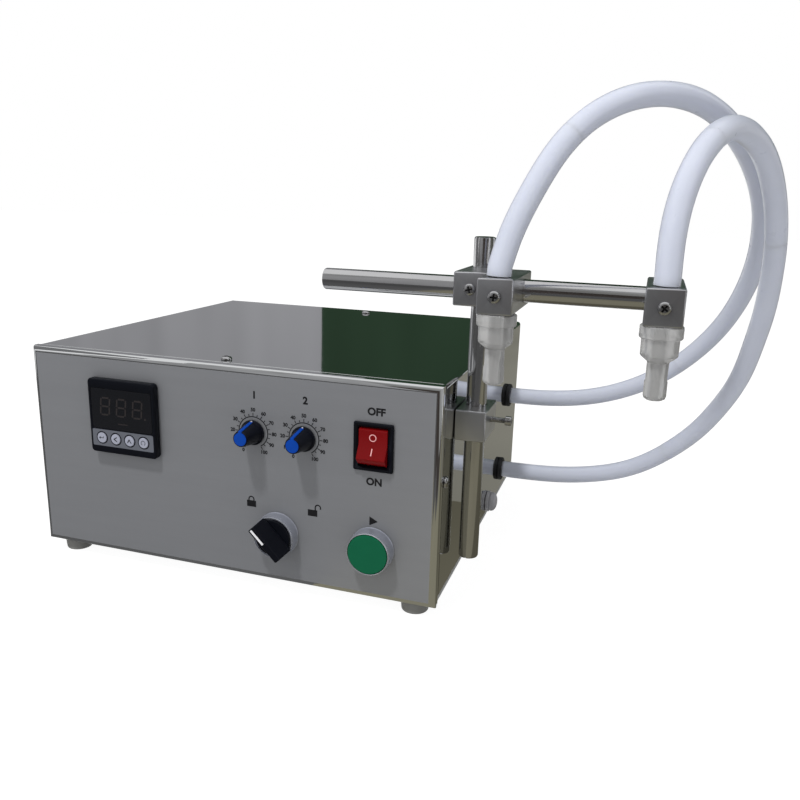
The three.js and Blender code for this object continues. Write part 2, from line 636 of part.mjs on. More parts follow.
// Rocker: two faces that meet in a shallow valley, round ends about its pivot, the upper face pressed
function rockerPiece() {
  const s = rockerSwitch;
  const corner = THREE.MathUtils.degToRad(s.cornerAngle);
  const last = THREE.MathUtils.degToRad(-s.endAngle);
  const tilt = THREE.MathUtils.degToRad(s.faceTilt);
  const arc = Array.from({ length: arcSteps + 1 }, (_, i) => {
    const angle = corner + (last - corner) * i / arcSteps;
    return [s.endRadius * Math.sin(angle), s.endRadius * Math.cos(angle)];
  });
  const valley = arc[0][0] - arc[0][1] * Math.tan(tilt);
  const outline = [[valley, 0], ...arc, [-s.bellyIn, 0],
    ...arc.map(([out, rise]) => [out, -rise]).reverse()];
  const turnedOutline = outline.map(([out, rise]) => {
    const cos = Math.cos(tilt);
    const sin = Math.sin(tilt);
    return [s.pivotIn - (out * cos - rise * sin), rockerZ + rise * cos + out * sin];
  });
  const half = s.rockerWide / 2;
  return joined(
    pulled('x', polygon(turnedOutline), s.x - half, s.x + half),
    cylinder(s.pivotRadius, -half - s.pivotReach, half + s.pivotReach, [s.x, s.pivotIn, rockerZ], 'right',
      sides.small),
  );
}

// Metal-look bezel of a 22 mm panel unit, its neck through the panel and its nut behind it
function unitBezel({ x, z }, proud, sinkRadius, sinkDeep) {
  const u = unit22;
  const behind = -sheet.panel - seat;
  return turned([
    [u.neckBore, -u.neckBack], [u.neckRadius, -u.neckBack], [u.neckRadius, behind - u.nutTall],
    [u.nutRadius, behind - u.nutTall], [u.nutRadius, behind], [u.neckRadius, behind], [u.neckRadius, seat],
    [u.baseRadius, seat], [u.baseRadius, u.lip + seat], [u.frontRadius, proud - u.lip / 2],
    [u.frontRadius - u.lip / 2, proud],
    [sinkRadius + seat, proud], [sinkRadius + seat, proud - sinkDeep], [u.neckBore, proud - sinkDeep],
    [u.neckBore, -u.neckBack],
  ], [x, 0, z], 'front');
}

// Selector lever: round disc with a wedge-shaped bar across it, turned to its rest place
function selectorLever() {
  const s = selector;
  const discBack = s.proud - s.sinkDeep + seat;
  const discFront = discBack + s.discTall;
  const disc = turned([
    [0, discBack - s.stemLength], [s.stemRadius, discBack - s.stemLength], [s.stemRadius, discBack],
    [s.discRadius, discBack], [s.discRadius, discFront], [0, discFront],
  ], [0, 0, 0], 'front', sides.fine);
  const half = [s.barBase / 2, s.barFront / 2];
  const wedge = polygon([
    [-half[0], -discFront + weld], [half[0], -discFront + weld], [half[1], -s.barOut],
    [-half[1], -s.barOut],
  ]);
  const barPiece = pulled('z', wedge, -s.barLong / 2, s.barLong / 2, s.barEdge);
  const lever = joined(disc, barPiece);
  lever.rotateY(THREE.MathUtils.degToRad(s.restAngle));
  lever.translate(s.x, 0, s.z);
  return lever;
}

function startButton() {
  const s = start;
  const front = s.bezelProud + s.proud;
  const back = front - s.discThick;
  return turned([
    [0, back - s.stemLength], [s.stemRadius, back - s.stemLength], [s.stemRadius, back],
    [s.discRadius, back],
    [s.discRadius, front - s.edge], [s.discRadius - s.edge, front], [0, front],
  ], [s.x, 0, s.z], 'front', sides.fine);
}

// Contact block: it grips the neck's end and stands behind the nut
function contactBlock({ x, z }) {
  const c = contact;
  const from = unit22.neckBack + seat;
  const half = c.wide / 2;
  const rise = c.tall / 2;
  const outline = polygon([
    [x - half, z - rise + c.notch], [x - half + c.notch, z - rise + c.notch],
    [x - half + c.notch, z - rise],
    [x + half - c.notch, z - rise], [x + half - c.notch, z - rise + c.notch],
    [x + half, z - rise + c.notch],
    [x + half, z + rise - c.notch], [x + half - c.notch, z + rise - c.notch],
    [x + half - c.notch, z + rise],
    [x - half + c.notch, z + rise], [x - half + c.notch, z + rise - c.notch],
    [x - half, z + rise - c.notch],
  ]);
  const body = pulled('y', outline, from, from + c.length);
  const plungerWell = cylinder(unit22.neckBore, -overrun, overrun, [x, from, z], 'back');
  const terminalSide = (side) => block(
    [x - half - overrun, from + c.length - c.shoulder,
      side > 0 ? z + rise - c.shoulder : z - rise - overrun],
    [x + half + overrun, from + c.length + overrun, side > 0 ? z + rise + overrun : z - rise + c.shoulder],
  );
  return cut(body, plungerWell, terminalSide(1), terminalSide(-1));
}

// Rubber grommet with a groove round the cover's hole
function grommetPiece([y, z]) {
  const g = grommet;
  const bore = hose.radius + seat;
  const inside = -sheet.cover - seat;
  return turned([
    [bore, -sheet.cover - g.inner], [g.radius - g.edge, -sheet.cover - g.inner], [g.radius, inside],
    [g.neckRadius, inside],
    [g.neckRadius, seat], [g.radius, seat], [g.radius, g.proud / 2], [g.radius - g.edge, g.proud],
    [bore, g.proud],
    [bore, -sheet.cover - g.inner],
  ], [wallX, y, z], 'right');
}

// Blind gland: a dome over a grooved base, with its nut inside
function sideGland() {
  const g = gland;
  const inside = -sheet.cover - seat - sheet.chassis - seat;
  const dome = Array.from({ length: arcSteps }, (_, i) => {
    const angle = Math.PI / 2 * i / arcSteps;
    const base = g.baseTall + g.domeTall * g.shoulderShare;
    return [g.baseRadius * Math.cos(angle) ** g.roundShare, base + (g.domeTall - base) * Math.sin(angle)];
  });
  return turned([
    [0, inside - g.nutTall], [g.nutRadius, inside - g.nutTall], [g.nutRadius, inside],
    [g.neckRadius, inside],
    [g.neckRadius, seat], [g.baseRadius, seat], [g.baseRadius, g.baseTall], [g.grooveRadius, g.baseTall],
    [g.grooveRadius, g.baseTall + seat + weld], ...dome, [0, g.domeTall],
  ], [wallX, glandY, g.z], 'right');
}

// Square bar block along Y between two places
function barBlock(left, bottom, front, back) {
  return pulled('y', chamfered(left, bottom, left + bar.side, bottom + bar.side, bar.edge), front, back,
    bar.edge);
}

function boreAlong(direction, place, length) {
  return cylinder(rod.radius + rod.fit, -length, length, place, direction, sides.medium);
}

// Set screw: head on the block's face, shank to the rod
function setScrewPiece(place, direction, grip) {
  const s = setScrew;
  return turned([
    [0, -grip], [s.shankRadius, -grip], [s.shankRadius, seat], [s.headRadius, seat],
    [s.headRadius, s.headTall - s.edge],
    [s.headRadius - s.edge, s.headTall], [s.socketRadius, s.headTall],
    [s.socketRadius, s.headTall - s.socketDeep],
    [0, s.headTall - s.socketDeep],
  ], place, direction, sides.small);
}

function screwHoleFor(place, direction, grip) {
  return cylinder(setScrew.shankRadius + seat, -grip, overrun, place, direction, sides.small);
}

// Lower clamp: bar block on the right wall, with its two bolts and nuts through the cover
function lowerClampBlock() {
  const left = wallX + seat;
  const middle = lowerBlockBottom + bar.side / 2;
  const body = cut(
    barBlock(left, lowerBlockBottom, lowerBlock.front, lowerBlock.back),
    boreAlong('up', [mast.x, mast.y, middle], bar.side),
    cylinder(clampScrew.shankRadius + seat, -overrun, bar.side,
      [mast.x + rod.radius, mast.y, clampScrewZ], 'right', sides.small),
  );
  const boltYs = [lowerBlock.front + lowerBlock.boltInset, lowerBlock.back - lowerBlock.boltInset];
  const boltSolids = boltYs.map((y) => {
    const inside = sheet.cover + 2 * seat;
    return turned([
      [0, -weld], [lowerBlock.boltRadius, -weld], [lowerBlock.boltRadius, inside],
      [lowerBlock.nutRadius, inside], [lowerBlock.nutRadius, inside + lowerBlock.nutTall],
      [lowerBlock.boltRadius, inside + lowerBlock.nutTall], [lowerBlock.boltRadius, lowerBlock.boltReach],
      [0, lowerBlock.boltReach],
    ], [left, y, middle], 'left', sides.nut);
  });
  return joined(body, ...boltSolids);
}

function lowerClampScrew() {
  const c = clampScrew;
  const face = wallX + seat + bar.side;
  const inner = mast.x + rod.radius + rod.fit - face;
  return turned([
    [0, inner], [c.shankRadius, inner], [c.shankRadius, c.reach - c.headTall],
    [c.headRadius, c.reach - c.headTall],
    [c.headRadius, c.reach - setScrew.edge], [c.headRadius - setScrew.edge, c.reach],
    [setScrew.socketRadius, c.reach], [setScrew.socketRadius, c.reach - setScrew.socketDeep],
    [0, c.reach - setScrew.socketDeep],
  ], [face, mast.y, clampScrewZ], 'right', sides.small);
}

function mastRod() {
  return turned(rounded(rod.radius, mast.bottom, mast.top, rod.edge), [mast.x, mast.y, 0], 'up',
    sides.fine);
}

function armRod() {
  return turned(rounded(rod.radius, arm.left, arm.right, rod.edge), [0, arm.y, armZ], 'right', sides.fine);
}

const armZ = crossBottom + bar.side / 2;
const armScrewGrip = arm.y - rod.radius - crossBlock.front - seat;
const mastScrewGrip = crossBlock.back - mast.y - rod.radius - seat;
const nozzleScrewGrip = nozzleBlock.boreY - nozzle.spigotRadius - nozzleBlock.front - seat;
const blockTop = crossBottom + bar.side;

function crossBlockPiece() {
  const left = wallX + seat;
  const middle = left + bar.side / 2;
  return cut(
    barBlock(left, crossBottom, crossBlock.front, crossBlock.back),
    boreAlong('right', [middle, arm.y, armZ], bar.side),
    boreAlong('up', [mast.x, mast.y, armZ], bar.side),
    screwHoleFor([middle, crossBlock.front, armZ], 'front', armScrewGrip + overrun),
    screwHoleFor([mast.x, crossBlock.back, armZ], 'back', mastScrewGrip + overrun),
  );
}

// Nozzle block: bar block across the arm, with its rear set screw in it
function nozzleBlockPiece(left) {
  const middle = left + bar.side / 2;
  const body = cut(
    barBlock(left, crossBottom, nozzleBlock.front, nozzleBlock.back),
    boreAlong('right', [middle, arm.y, armZ], bar.side),
    cylinder(nozzle.spigotRadius + seat, -bar.side, bar.side, [middle, nozzleBlock.boreY, armZ], 'up'),
    screwHoleFor([middle, nozzleBlock.front, armZ], 'front', nozzleScrewGrip + overrun),
  );
  const rearHead = turned([
    [0, -weld], [setScrew.headRadius, -weld], [setScrew.headRadius, setScrew.headTall - setScrew.edge],
    [setScrew.headRadius - setScrew.edge, setScrew.headTall], [setScrew.socketRadius, setScrew.headTall],
    [setScrew.socketRadius, setScrew.headTall - setScrew.socketDeep],
    [0, setScrew.headTall - setScrew.socketDeep],
  ], [middle, nozzleBlock.back, armZ], 'back', sides.small);
  return joined(body, rearHead);
}

// Filling nozzle: spigot up the block, collar, body, neck and round-ended tip, with its bore
function nozzlePiece(left) {
  const n = nozzle;
  const top = blockTop;
  const collarTop = crossBottom - seat;
  const collarBottom = collarTop - n.collarTall;
  const bodyBottom = collarBottom - n.bodyTall;
  const neckTop = bodyBottom - n.chamfer;
  const tipTop = neckTop - n.neckTall;
  const tipBottom = tipTop - n.tipTall;
  return turned([
    [n.boreRadius, top], [n.spigotRadius, top], [n.spigotRadius, collarTop],
    [n.collarRadius - n.edge, collarTop],
    [n.collarRadius, collarTop - n.edge], [n.collarRadius, collarBottom], [n.bodyRadius, collarBottom],
    [n.bodyRadius, bodyBottom], [n.neckRadius, neckTop], [n.neckRadius, tipTop + n.edge],
    [n.tipRadius, tipTop],
    [n.tipRadius, tipBottom + n.tipEdge], [n.tipRadius - n.tipEdge, tipBottom], [n.outletRadius, tipBottom],
    [n.outletRadius, tipTop], [n.boreRadius, neckTop], [n.boreRadius, top],
  ], [left + bar.side / 2, nozzleBlock.boreY, 0], 'up');
}

// Hose: round section along its route, from its grommet's face to the top of its nozzle block
function hosePiece(index) {
  const [y, z] = grommetPlaces[index];
  const startPoint = [wallX + grommet.proud + hose.gap, y, z];
  const endPoint = [nozzleBlock.lefts[index] + bar.side / 2, nozzleBlock.boreY, blockTop + hose.gap];
  const points = [startPoint, ...hoseRoutes[index], endPoint].map((point) => new THREE.Vector3(...point));
  const route = new THREE.CatmullRomCurve3(points, false, 'centripetal');
  const section = new THREE.Shape().absarc(0, 0, hose.radius, 0, 2 * Math.PI);
  return new THREE.ExtrudeGeometry(section,
    { extrudePath: route, steps: hoseSteps, curveSegments: sides.hose / 2 });
}

// Motor of a pump: can with a stepped end bell
function pumpMotor(index) {
  const p = pump;
  const front = pumpBacks[index] - p.headLength - seat;
  return turned([
    [0, 0], [p.motorRadius - p.motorEdge, 0], [p.motorRadius, p.motorEdge],
    [p.motorRadius, p.motorLength - p.motorEdge],
    [p.motorRadius - p.motorEdge, p.motorLength], [p.bellRadius, p.motorLength],
    [p.bellRadius, p.motorLength + p.bellLong],
    [0, p.motorLength + p.bellLong],
  ], [p.x[index], front, p.axisZ], 'front', sides.medium);
}

// Ridged port that goes out through the rear panel
function suctionPort(index) {
  const p = pump;
  const reach = housing.depth + p.portOut - pumpBacks[index];
  const profile = [[0, -weld], [p.portRadius, -weld]];
  for (let i = p.ridges; i > 0; i -= 1) {
    profile.push([p.portRadius, reach - i * p.ridgeLong], [p.ridgeRadius, reach - i * p.ridgeLong]);
  }
  profile.push([p.portRadius - weld, reach], [0, reach]);
  return turned(profile, [p.x[index], pumpBacks[index], p.axisZ], 'back', sides.small);
}

// Gear pump head on its foot, with its suction port and its outlet
function pumpHead(index) {
  const p = pump;
  const [x, back] = [p.x[index], pumpBacks[index]];
  const front = back - p.headLength;
  const half = p.headSide / 2;
  const headBody = pulled('y', middled(x, p.axisZ, p.headSide, p.headSide, p.headCorner), front, back);
  const footPlate = block([x - p.footWide / 2, front, floorTop + seat],
    [x + p.footWide / 2, back, floorTop + seat + p.footTall]);
  const web = block([x - half / 2, front, floorTop + seat], [x + half / 2, back, p.axisZ]);
  const [y, z] = grommetPlaces[index];
  const outlet = index === 0
    ? joined(
      cylinder(p.elbowRadius, p.axisZ, z + p.elbowRadius, [x, y, 0], 'up'),
      cylinder(p.portRadius, x, p.elbowX + p.spigot, [0, y, z], 'right', sides.small),
    )
    : cylinder(p.portRadius, x, x + half + p.spigot, [0, y, z], 'right', sides.small);
  return joined(headBody, footPlate, web, outlet, suctionPort(index));
}

// Straight hose inside, from the pump's outlet through the grommet
function innerHose(index) {
  const p = pump;
  const [y, z] = grommetPlaces[index];
  const from = index === 0 ? p.elbowX + p.spigot : p.x[index] + p.headSide / 2 + p.spigot;
  return cylinder(hose.radius, from + seat, wallX + grommet.proud, [0, y, z], 'right', sides.hose);
}

function powerSupply() {
  const s = supply;
  const base = floorTop + seat;
  const pitch = s.long / (s.slots + 1);
  const slots = Array.from({ length: s.slots }, (_, i) => block(
    [s.x + (s.wide - s.slotWide) / 2, s.y + (i + 1) * pitch - s.slotLong / 2, base + s.tall - s.slotDeep],
    [s.x + (s.wide + s.slotWide) / 2, s.y + (i + 1) * pitch + s.slotLong / 2, base + s.tall + overrun],
  ));
  const cage = cut(block([s.x, s.y, base], [s.x + s.wide, s.y + s.long, base + s.tall]), ...slots);
  const terminals = block([s.x, s.y + s.long - weld, base],
    [s.x + s.wide, s.y + s.long + s.terminalLong, base + s.terminalTall]);
  return joined(cage, terminals);
}

// Control board on four posts with its relays, capacitor and terminal strip
function controlBoard() {
  const b = board;
  const base = floorTop + seat;
  const under = base + b.lift;
  const over = under + b.thick;
  const plate = block([b.x, b.y, under], [b.x + b.wide, b.y + b.long, over]);
  const posts = [[0, 0], [1, 0], [0, 1], [1, 1]].map(([i, j]) => cylinder(
    b.postRadius, base, under + weld,
    [b.x + b.postInset + i * (b.wide - 2 * b.postInset),
      b.y + b.postInset + j * (b.long - 2 * b.postInset), 0], 'up', sides.small,
  ));
  const relayY = b.y + b.long / 2;
  const relays = Array.from({ length: b.relays }, (_, i) => {
    const left = b.x + b.postInset + i * b.relayPitch;
    return block([left, relayY, over - weld],
      [left + b.relayWide, relayY + b.relayLong, over + b.relayTall]);
  });
  const can = cylinder(b.canRadius, over - weld, over + b.canTall,
    [b.x + b.wide - 2 * b.canRadius, relayY, 0], 'up', sides.small);
  const stripLeft = b.x + (b.wide - b.stripWide) / 2;
  const strip = block([stripLeft, b.y, over - weld],
    [stripLeft + b.stripWide, b.y + b.stripLong, over + b.stripTall]);
  return joined(plate, ...posts, ...relays, can, strip);
}

// Mains inlet: flange outside the rear panel, body inside, three pins in its pit
function mainsInlet() {
  const n = inlet;
  const outside = rearPanelBack + seat;
  const face = outside + n.thick;
  const pit = pulled('y', middled(n.x, n.z, n.pitWide, n.pitTall, n.bodyCorner), face - n.pitDeep,
    face + overrun);
  const shell = cut(
    joined(
      pulled('y', middled(n.x, n.z, n.wide, n.tall, n.corner), outside, face),
      pulled('y', middled(n.x, n.z, n.bodyWide, n.bodyTall, n.bodyCorner), face - n.bodyDeep,
        outside + weld),
    ),
    pit,
  );
  const pins = [-1, 0, 1].map((i) => {
    const rise = i === 0 ? n.pinRise : -n.pinRise;
    return block(
      [n.x + i * n.pinPitch - n.pinWide / 2, face - n.pitDeep - weld, n.z + rise - n.pinTall / 2],
      [n.x + i * n.pinPitch + n.pinWide / 2, face - n.pitDeep + n.pinLong, n.z + rise + n.pinTall / 2],
    );
  });
  return joined(shell, ...pins);
}

// Assembly
const machine = new THREE.Group();
const add = (name, geometry, material) => machine.add(named(name, geometry, material));

add('chassis_tray', chassisTray(), finishes.sheetSteel);
add('front_panel', frontPanel(), finishes.panel);
add('top_cover', topCover(), finishes.steel);
const footRows = [['front', foot.fromFace], ['rear', housing.depth - foot.fromFace]];
for (const [row, y] of footRows) {
  add(`foot_${row}_left`, footPiece(foot.inset, y), finishes.rubber);
  add(`foot_${row}_right`, footPiece(wallX - foot.inset, y), finishes.rubber);
}
const screwGrip = sheet.cover + seat + sheet.panel + coverScrew.headTall;
const rearScrewY = housing.depth - screwPlaces.backFromRear;
add('cover_screw_top_front',
  coverScrewPiece([screwPlaces.frontX, screwPlaces.frontY, roofZ], 'up', screwGrip), finishes.steel);
add('cover_screw_top_rear', coverScrewPiece([screwPlaces.backX, rearScrewY, roofZ], 'up', screwGrip),
  finishes.steel);
add('cover_screw_left', coverScrewPiece([0, screwPlaces.sideY, screwPlaces.sideZ], 'left', screwGrip),
  finishes.steel);
add('cover_screw_right',
  coverScrewPiece([wallX, screwPlaces.sideY, screwPlaces.sideZ], 'right', screwGrip), finishes.steel);

add('meter_housing', meterHousing(), finishes.black);
add('meter_window', meterWindow(), finishes.glass);
add('meter_clamp', meterClamp(), finishes.black);
keyPlaces().forEach((x, i) => add(`meter_key_${i + 1}`, meterKeyPiece(x), finishes.key));
knobPlaces.forEach((place, i) => {
  add(`potentiometer_${i + 1}`, potentiometer(place), finishes.zinc);
  add(`knob_${i + 1}`, knobBody(place), finishes.black);
  add(`knob_cap_${i + 1}`, knobCapPiece(place), finishes.blue);
});
add('rocker_frame', rockerFrame(), finishes.black);
add('rocker', rockerPiece(), finishes.red);
add('selector_bezel', unitBezel(selector, selector.proud, selector.discRadius, selector.sinkDeep),
  finishes.bezel);
add('selector_lever', selectorLever(), finishes.black);
add('selector_contact_block', contactBlock(selector), finishes.black);
const startSink = start.discThick - start.proud + start.travel + seat;
add('start_bezel', unitBezel(start, start.bezelProud, start.discRadius, startSink), finishes.bezel);
add('start_button', startButton(), finishes.green);
add('start_contact_block', contactBlock(start), finishes.black);

['upper',
  'lower'].forEach((level, i) => add(`grommet_${level}`, grommetPiece(grommetPlaces[i]), finishes.rubber));
add('side_gland', sideGland(), finishes.zinc);
add('lower_clamp_block', lowerClampBlock(), finishes.aluminium);
add('lower_clamp_screw', lowerClampScrew(), finishes.steel);
add('mast', mastRod(), finishes.steel);
add('cross_block', crossBlockPiece(), finishes.aluminium);
const crossMiddle = wallX + seat + bar.side / 2;
add('arm_screw', setScrewPiece([crossMiddle, crossBlock.front, armZ], 'front', armScrewGrip),
  finishes.steel);
add('mast_screw', setScrewPiece([mast.x, crossBlock.back, armZ], 'back', mastScrewGrip), finishes.steel);
add('arm', armRod(), finishes.steel);
nozzleBlock.lefts.forEach((left, i) => {
  const face = [left + bar.side / 2, nozzleBlock.front, armZ];
  add(`nozzle_block_${i + 1}`, nozzleBlockPiece(left), finishes.aluminium);
  add(`nozzle_screw_${i + 1}`, setScrewPiece(face, 'front', nozzleScrewGrip), finishes.steel);
  add(`nozzle_${i + 1}`, nozzlePiece(left), finishes.clear);
});

for (const index of [0, 1]) {
  add(`pump_motor_${index + 1}`, pumpMotor(index), finishes.zinc);
  add(`pump_head_${index + 1}`, pumpHead(index), finishes.aluminium);
  add(`inner_hose_${index + 1}`, innerHose(index), finishes.clear);
}
add('power_supply', powerSupply(), finishes.sheetSteel);
add('control_board', controlBoard(), finishes.board);
add('mains_inlet', mainsInlet(), finishes.black);

// The origin lies under the middle of the rigid pieces' box, so the hoses come after it is known
const box = new THREE.Box3().setFromObject(machine);
add('hose_1', hosePiece(0), finishes.clear);
add('hose_2', hosePiece(1), finishes.clear);
machine.position.set(-(box.min.x + box.max.x) / 2, -(box.min.y + box.max.y) / 2, -box.min.z);

export default machine;
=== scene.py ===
"""Looks of a bench-top liquid filling machine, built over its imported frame.

Laid out as an add-on and run as a script. The places and sizes of pieces are in millimetres, from
the housing's front lower left corner, and are turned into the frame's metres where a piece is made.
The settings' lengths, the hose routes, the cards and the lamps are in metres.
"""

import math

import bmesh
import bpy
from bpy.props import FloatProperty, FloatVectorProperty, IntProperty, PointerProperty
from bpy.types import Operator, Panel, PropertyGroup
from mathutils import Matrix, Vector


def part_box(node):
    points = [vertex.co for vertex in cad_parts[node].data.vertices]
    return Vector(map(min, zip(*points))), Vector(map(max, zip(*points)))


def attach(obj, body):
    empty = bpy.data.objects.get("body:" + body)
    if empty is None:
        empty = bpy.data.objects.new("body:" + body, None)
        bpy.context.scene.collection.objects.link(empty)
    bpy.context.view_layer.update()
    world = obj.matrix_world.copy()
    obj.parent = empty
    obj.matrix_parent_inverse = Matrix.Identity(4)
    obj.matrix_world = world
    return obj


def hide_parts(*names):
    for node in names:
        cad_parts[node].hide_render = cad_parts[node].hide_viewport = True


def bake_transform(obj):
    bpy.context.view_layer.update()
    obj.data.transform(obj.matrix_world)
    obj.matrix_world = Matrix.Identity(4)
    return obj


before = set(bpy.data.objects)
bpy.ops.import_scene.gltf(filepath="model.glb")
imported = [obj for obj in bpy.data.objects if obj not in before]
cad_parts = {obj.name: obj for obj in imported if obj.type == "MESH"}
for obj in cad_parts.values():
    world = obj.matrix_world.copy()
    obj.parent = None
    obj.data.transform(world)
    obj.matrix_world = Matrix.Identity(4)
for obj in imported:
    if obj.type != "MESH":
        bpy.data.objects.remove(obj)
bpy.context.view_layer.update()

bl_info = {
    "name": "Liquid Filling Machine Looks",
    "version": (1, 0, 0),
    "blender": (4, 5, 0),
    "location": "3D View > Sidebar > Filler",
    "description": "Finishes, hoses and fine detail of a bench-top liquid filling machine",
    "category": "Object",
}

MM = 0.001
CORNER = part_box("front_panel")[0]
FRONT = Vector((0, -1, 0))
BACK = Vector((0, 1, 0))
RIGHT = Vector((1, 0, 0))
LEFT = Vector((-1, 0, 0))
UP = Vector((0, 0, 1))

HOUSING_WIDTH = 286.0
HOUSING_HEIGHT = 140.0
HOUSING_DEPTH = 264.0
ROD_RADIUS = 6.35
BAR_SIDE = 19.0
HEAD_BOTTOM = 185.3
HEAD_TOP = HEAD_BOTTOM + BAR_SIDE
ROD_Z = HEAD_BOTTOM + BAR_SIDE / 2
ARM_Y = 19.4
MAST_PLACE = (295.5, 46.0)
NOZZLE_PLACES = ((315.0, -8.0), (398.3, -8.0))
GROMMET_PLACES = ((217.0, 85.0), (199.0, 26.0))
KNOB_PLACES = ((165.4, 99.3), (199.7, 99.3))
METER_PLACE = (73.0, 98.8)
ROCKER_PLACE = (245.0, 99.7)
SELECTOR_PLACE = (181.8, 34.3)
START_PLACE = (245.2, 34.3)

# The gap between pieces that sit on each other, and the places that follow from it
CLEARANCE = 0.25
CROSS_X = HOUSING_WIDTH + CLEARANCE + BAR_SIDE / 2
COLLAR_TOP = HEAD_BOTTOM - CLEARANCE

# The printing's gap to the panel, and how far a dial reaches each way from straight up, in degrees
INK_LIFT = 0.01
DIAL_SWEEP = 150.0

# The fronts of the meter's window and of the plane that its keys stand in
WINDOW_FACE = -5.55
KEY_PLANE = -5.6

# The angle in degrees from which an edge stays sharp, and the gap up to which points are merged
SHARP_ANGLE = 32.0
MERGE_GAP = 0.002

# Where the lamps point, in metres
LIT_SPOT = Vector((0, 0, 0.1))

# A letter's size over the height of its capitals
CAPITAL_SHARE = 1.38

# How deep light scatters in a milky wall, in metres, and the colour of the painted highlight on convex
# edges
SCATTER_REACH = (0.004, 0.004, 0.0045)
EDGE_HIGHLIGHT_COLOUR = (0.85, 0.86, 0.88, 1)

# Routes of the two hoses, in metres from the housing's front lower left corner
HOSE_ROUTES = (
    (
        (0.2899, 0.217, 0.085), (0.314, 0.217, 0.0852), (0.338, 0.216, 0.0875),
        (0.361, 0.213, 0.093), (0.383, 0.209, 0.102), (0.4035, 0.204, 0.1145),
        (0.421, 0.199, 0.130), (0.436, 0.1925, 0.148), (0.4465, 0.1825, 0.167),
        (0.453, 0.1705, 0.187), (0.456, 0.1565, 0.2065), (0.4555, 0.141, 0.225),
        (0.4523, 0.1253, 0.2431), (0.4455, 0.1094, 0.2599), (0.4355, 0.0937, 0.2752),
        (0.4228, 0.0773, 0.2882), (0.4084, 0.0602, 0.2972), (0.3904, 0.0439, 0.3002),
        (0.372, 0.029, 0.2973), (0.3539, 0.0165, 0.2872), (0.3389, 0.0069, 0.2708),
        (0.3291, -0.0004, 0.2498), (0.3187, -0.0061, 0.2269), (0.3154, -0.0078, 0.2114),
        (0.315, -0.008, 0.2048),
    ),
    (
        (0.2899, 0.199, 0.026), (0.3135, 0.199, 0.026), (0.3357, 0.1981, 0.0273),
        (0.3594, 0.1985, 0.0307), (0.3837, 0.198, 0.0373), (0.4028, 0.1954, 0.0479),
        (0.420, 0.1901, 0.0635), (0.4355, 0.1827, 0.081), (0.4459, 0.1738, 0.1008),
        (0.453, 0.1618, 0.1183), (0.4574, 0.149, 0.1368), (0.4595, 0.1364, 0.1595),
        (0.4615, 0.1241, 0.1792), (0.4608, 0.1142, 0.200), (0.4596, 0.1051, 0.224),
        (0.4555, 0.0968, 0.2446), (0.4485, 0.0845, 0.2638), (0.4393, 0.0694, 0.2772),
        (0.4275, 0.0497, 0.2837), (0.4175, 0.029, 0.2815), (0.4083, 0.011, 0.2705),
        (0.4012, -0.0011, 0.2527), (0.3977, -0.0073, 0.2281), (0.3984, -0.008, 0.2098),
        (0.3983, -0.008, 0.2048),
    ),
)

# Cards that only gloss sees: name, middle, facing, width, height and colour, in metres in the frame
CARDS = (
    ("rear pale card", (-4.13, 2.5, 2.1), (0, -1, 0), 6.0, 4.2, (0.33, 0.33, 0.345)),
    ("rear green card", (0.87, 2.5, 2.1), (0, -1, 0), 4.0, 4.2, (0.028, 0.052, 0.031)),
    ("front left card", (-1.95, -2.6, 1.2), (0, 1, 0), 3.1, 2.4, (0.40, 0.40, 0.405)),
    ("front right card", (1.55, -2.6, 0.6), (0, 1, 0), 3.9, 1.2, (0.065, 0.055, 0.050)),
    ("front high card", (1.55, -2.6, 1.8), (0, 1, 0), 3.9, 1.2, (0.30, 0.30, 0.29)),
    ("front top card", (0.0, -2.6, 3.3), (0, 1, 0), 7.0, 1.8, (0.42, 0.42, 0.42)),
    ("right card", (2.6, 0.0, 1.0), (-1, 0, 0), 2.0, 4.0, (0.10, 0.10, 0.085)),
    ("left card", (-3.0, -0.6, 1.0), (1, 0, 0), 2.0, 3.4, (0.22, 0.22, 0.225)),
    ("front floor card", (-0.6, -1.52, 0.002), (0, 0, 1), 5.0, 2.14, (0.12, 0.12, 0.12)),
    ("front left floor card", (-1.55, -0.2875, 0.002), (0, 0, 1), 3.1, 0.325, (0.13, 0.13, 0.13)),
    ("front right floor card", (0.95, -0.2875, 0.002), (0, 0, 1), 1.9, 0.325, (0.26, 0.245, 0.18)),
    ("near side floor card", (0.993, -0.0325, 0.002), (0, 0, 1), 1.814, 0.185, (0.13, 0.122, 0.088)),
    ("far side floor card", (0.993, 1.23, 0.002), (0, 0, 1), 1.814, 2.34, (0.25, 0.243, 0.205)),
)

# How far along each hose its four stretches end, and the names of the bodies at these ends, which no
# stretch rides on
HOSE_CUTS = (0.0, 0.25, 0.61, 0.85, 1.0)
HOSE_BODIES = ("housing", "mast", "head", "arm", "nozzle_unit_{}")

# The steps of a hose's line from one point of its route to the next
FINE_STEPS = 24


def at(x, y, z):
    """A place of the drawing, in the frame's metres."""
    return CORNER + Vector((x, y, z)) * MM


class FILLER_PG_camera(PropertyGroup):
    location: FloatVectorProperty(
        name="Location", description="Where the camera stands, in the frame", subtype="TRANSLATION",
        unit="LENGTH", default=(0.186975, -0.5462, 0.2517),
    )
    turn: FloatVectorProperty(
        name="Turn", description="How the camera is turned", subtype="EULER", unit="ROTATION",
        default=(math.radians(75.33), math.radians(-1.6), math.radians(17.85)),
    )
    lens: FloatProperty(
        name="Lens", description="Focal length in millimetres on a 36 mm sensor", default=35.08,
    )


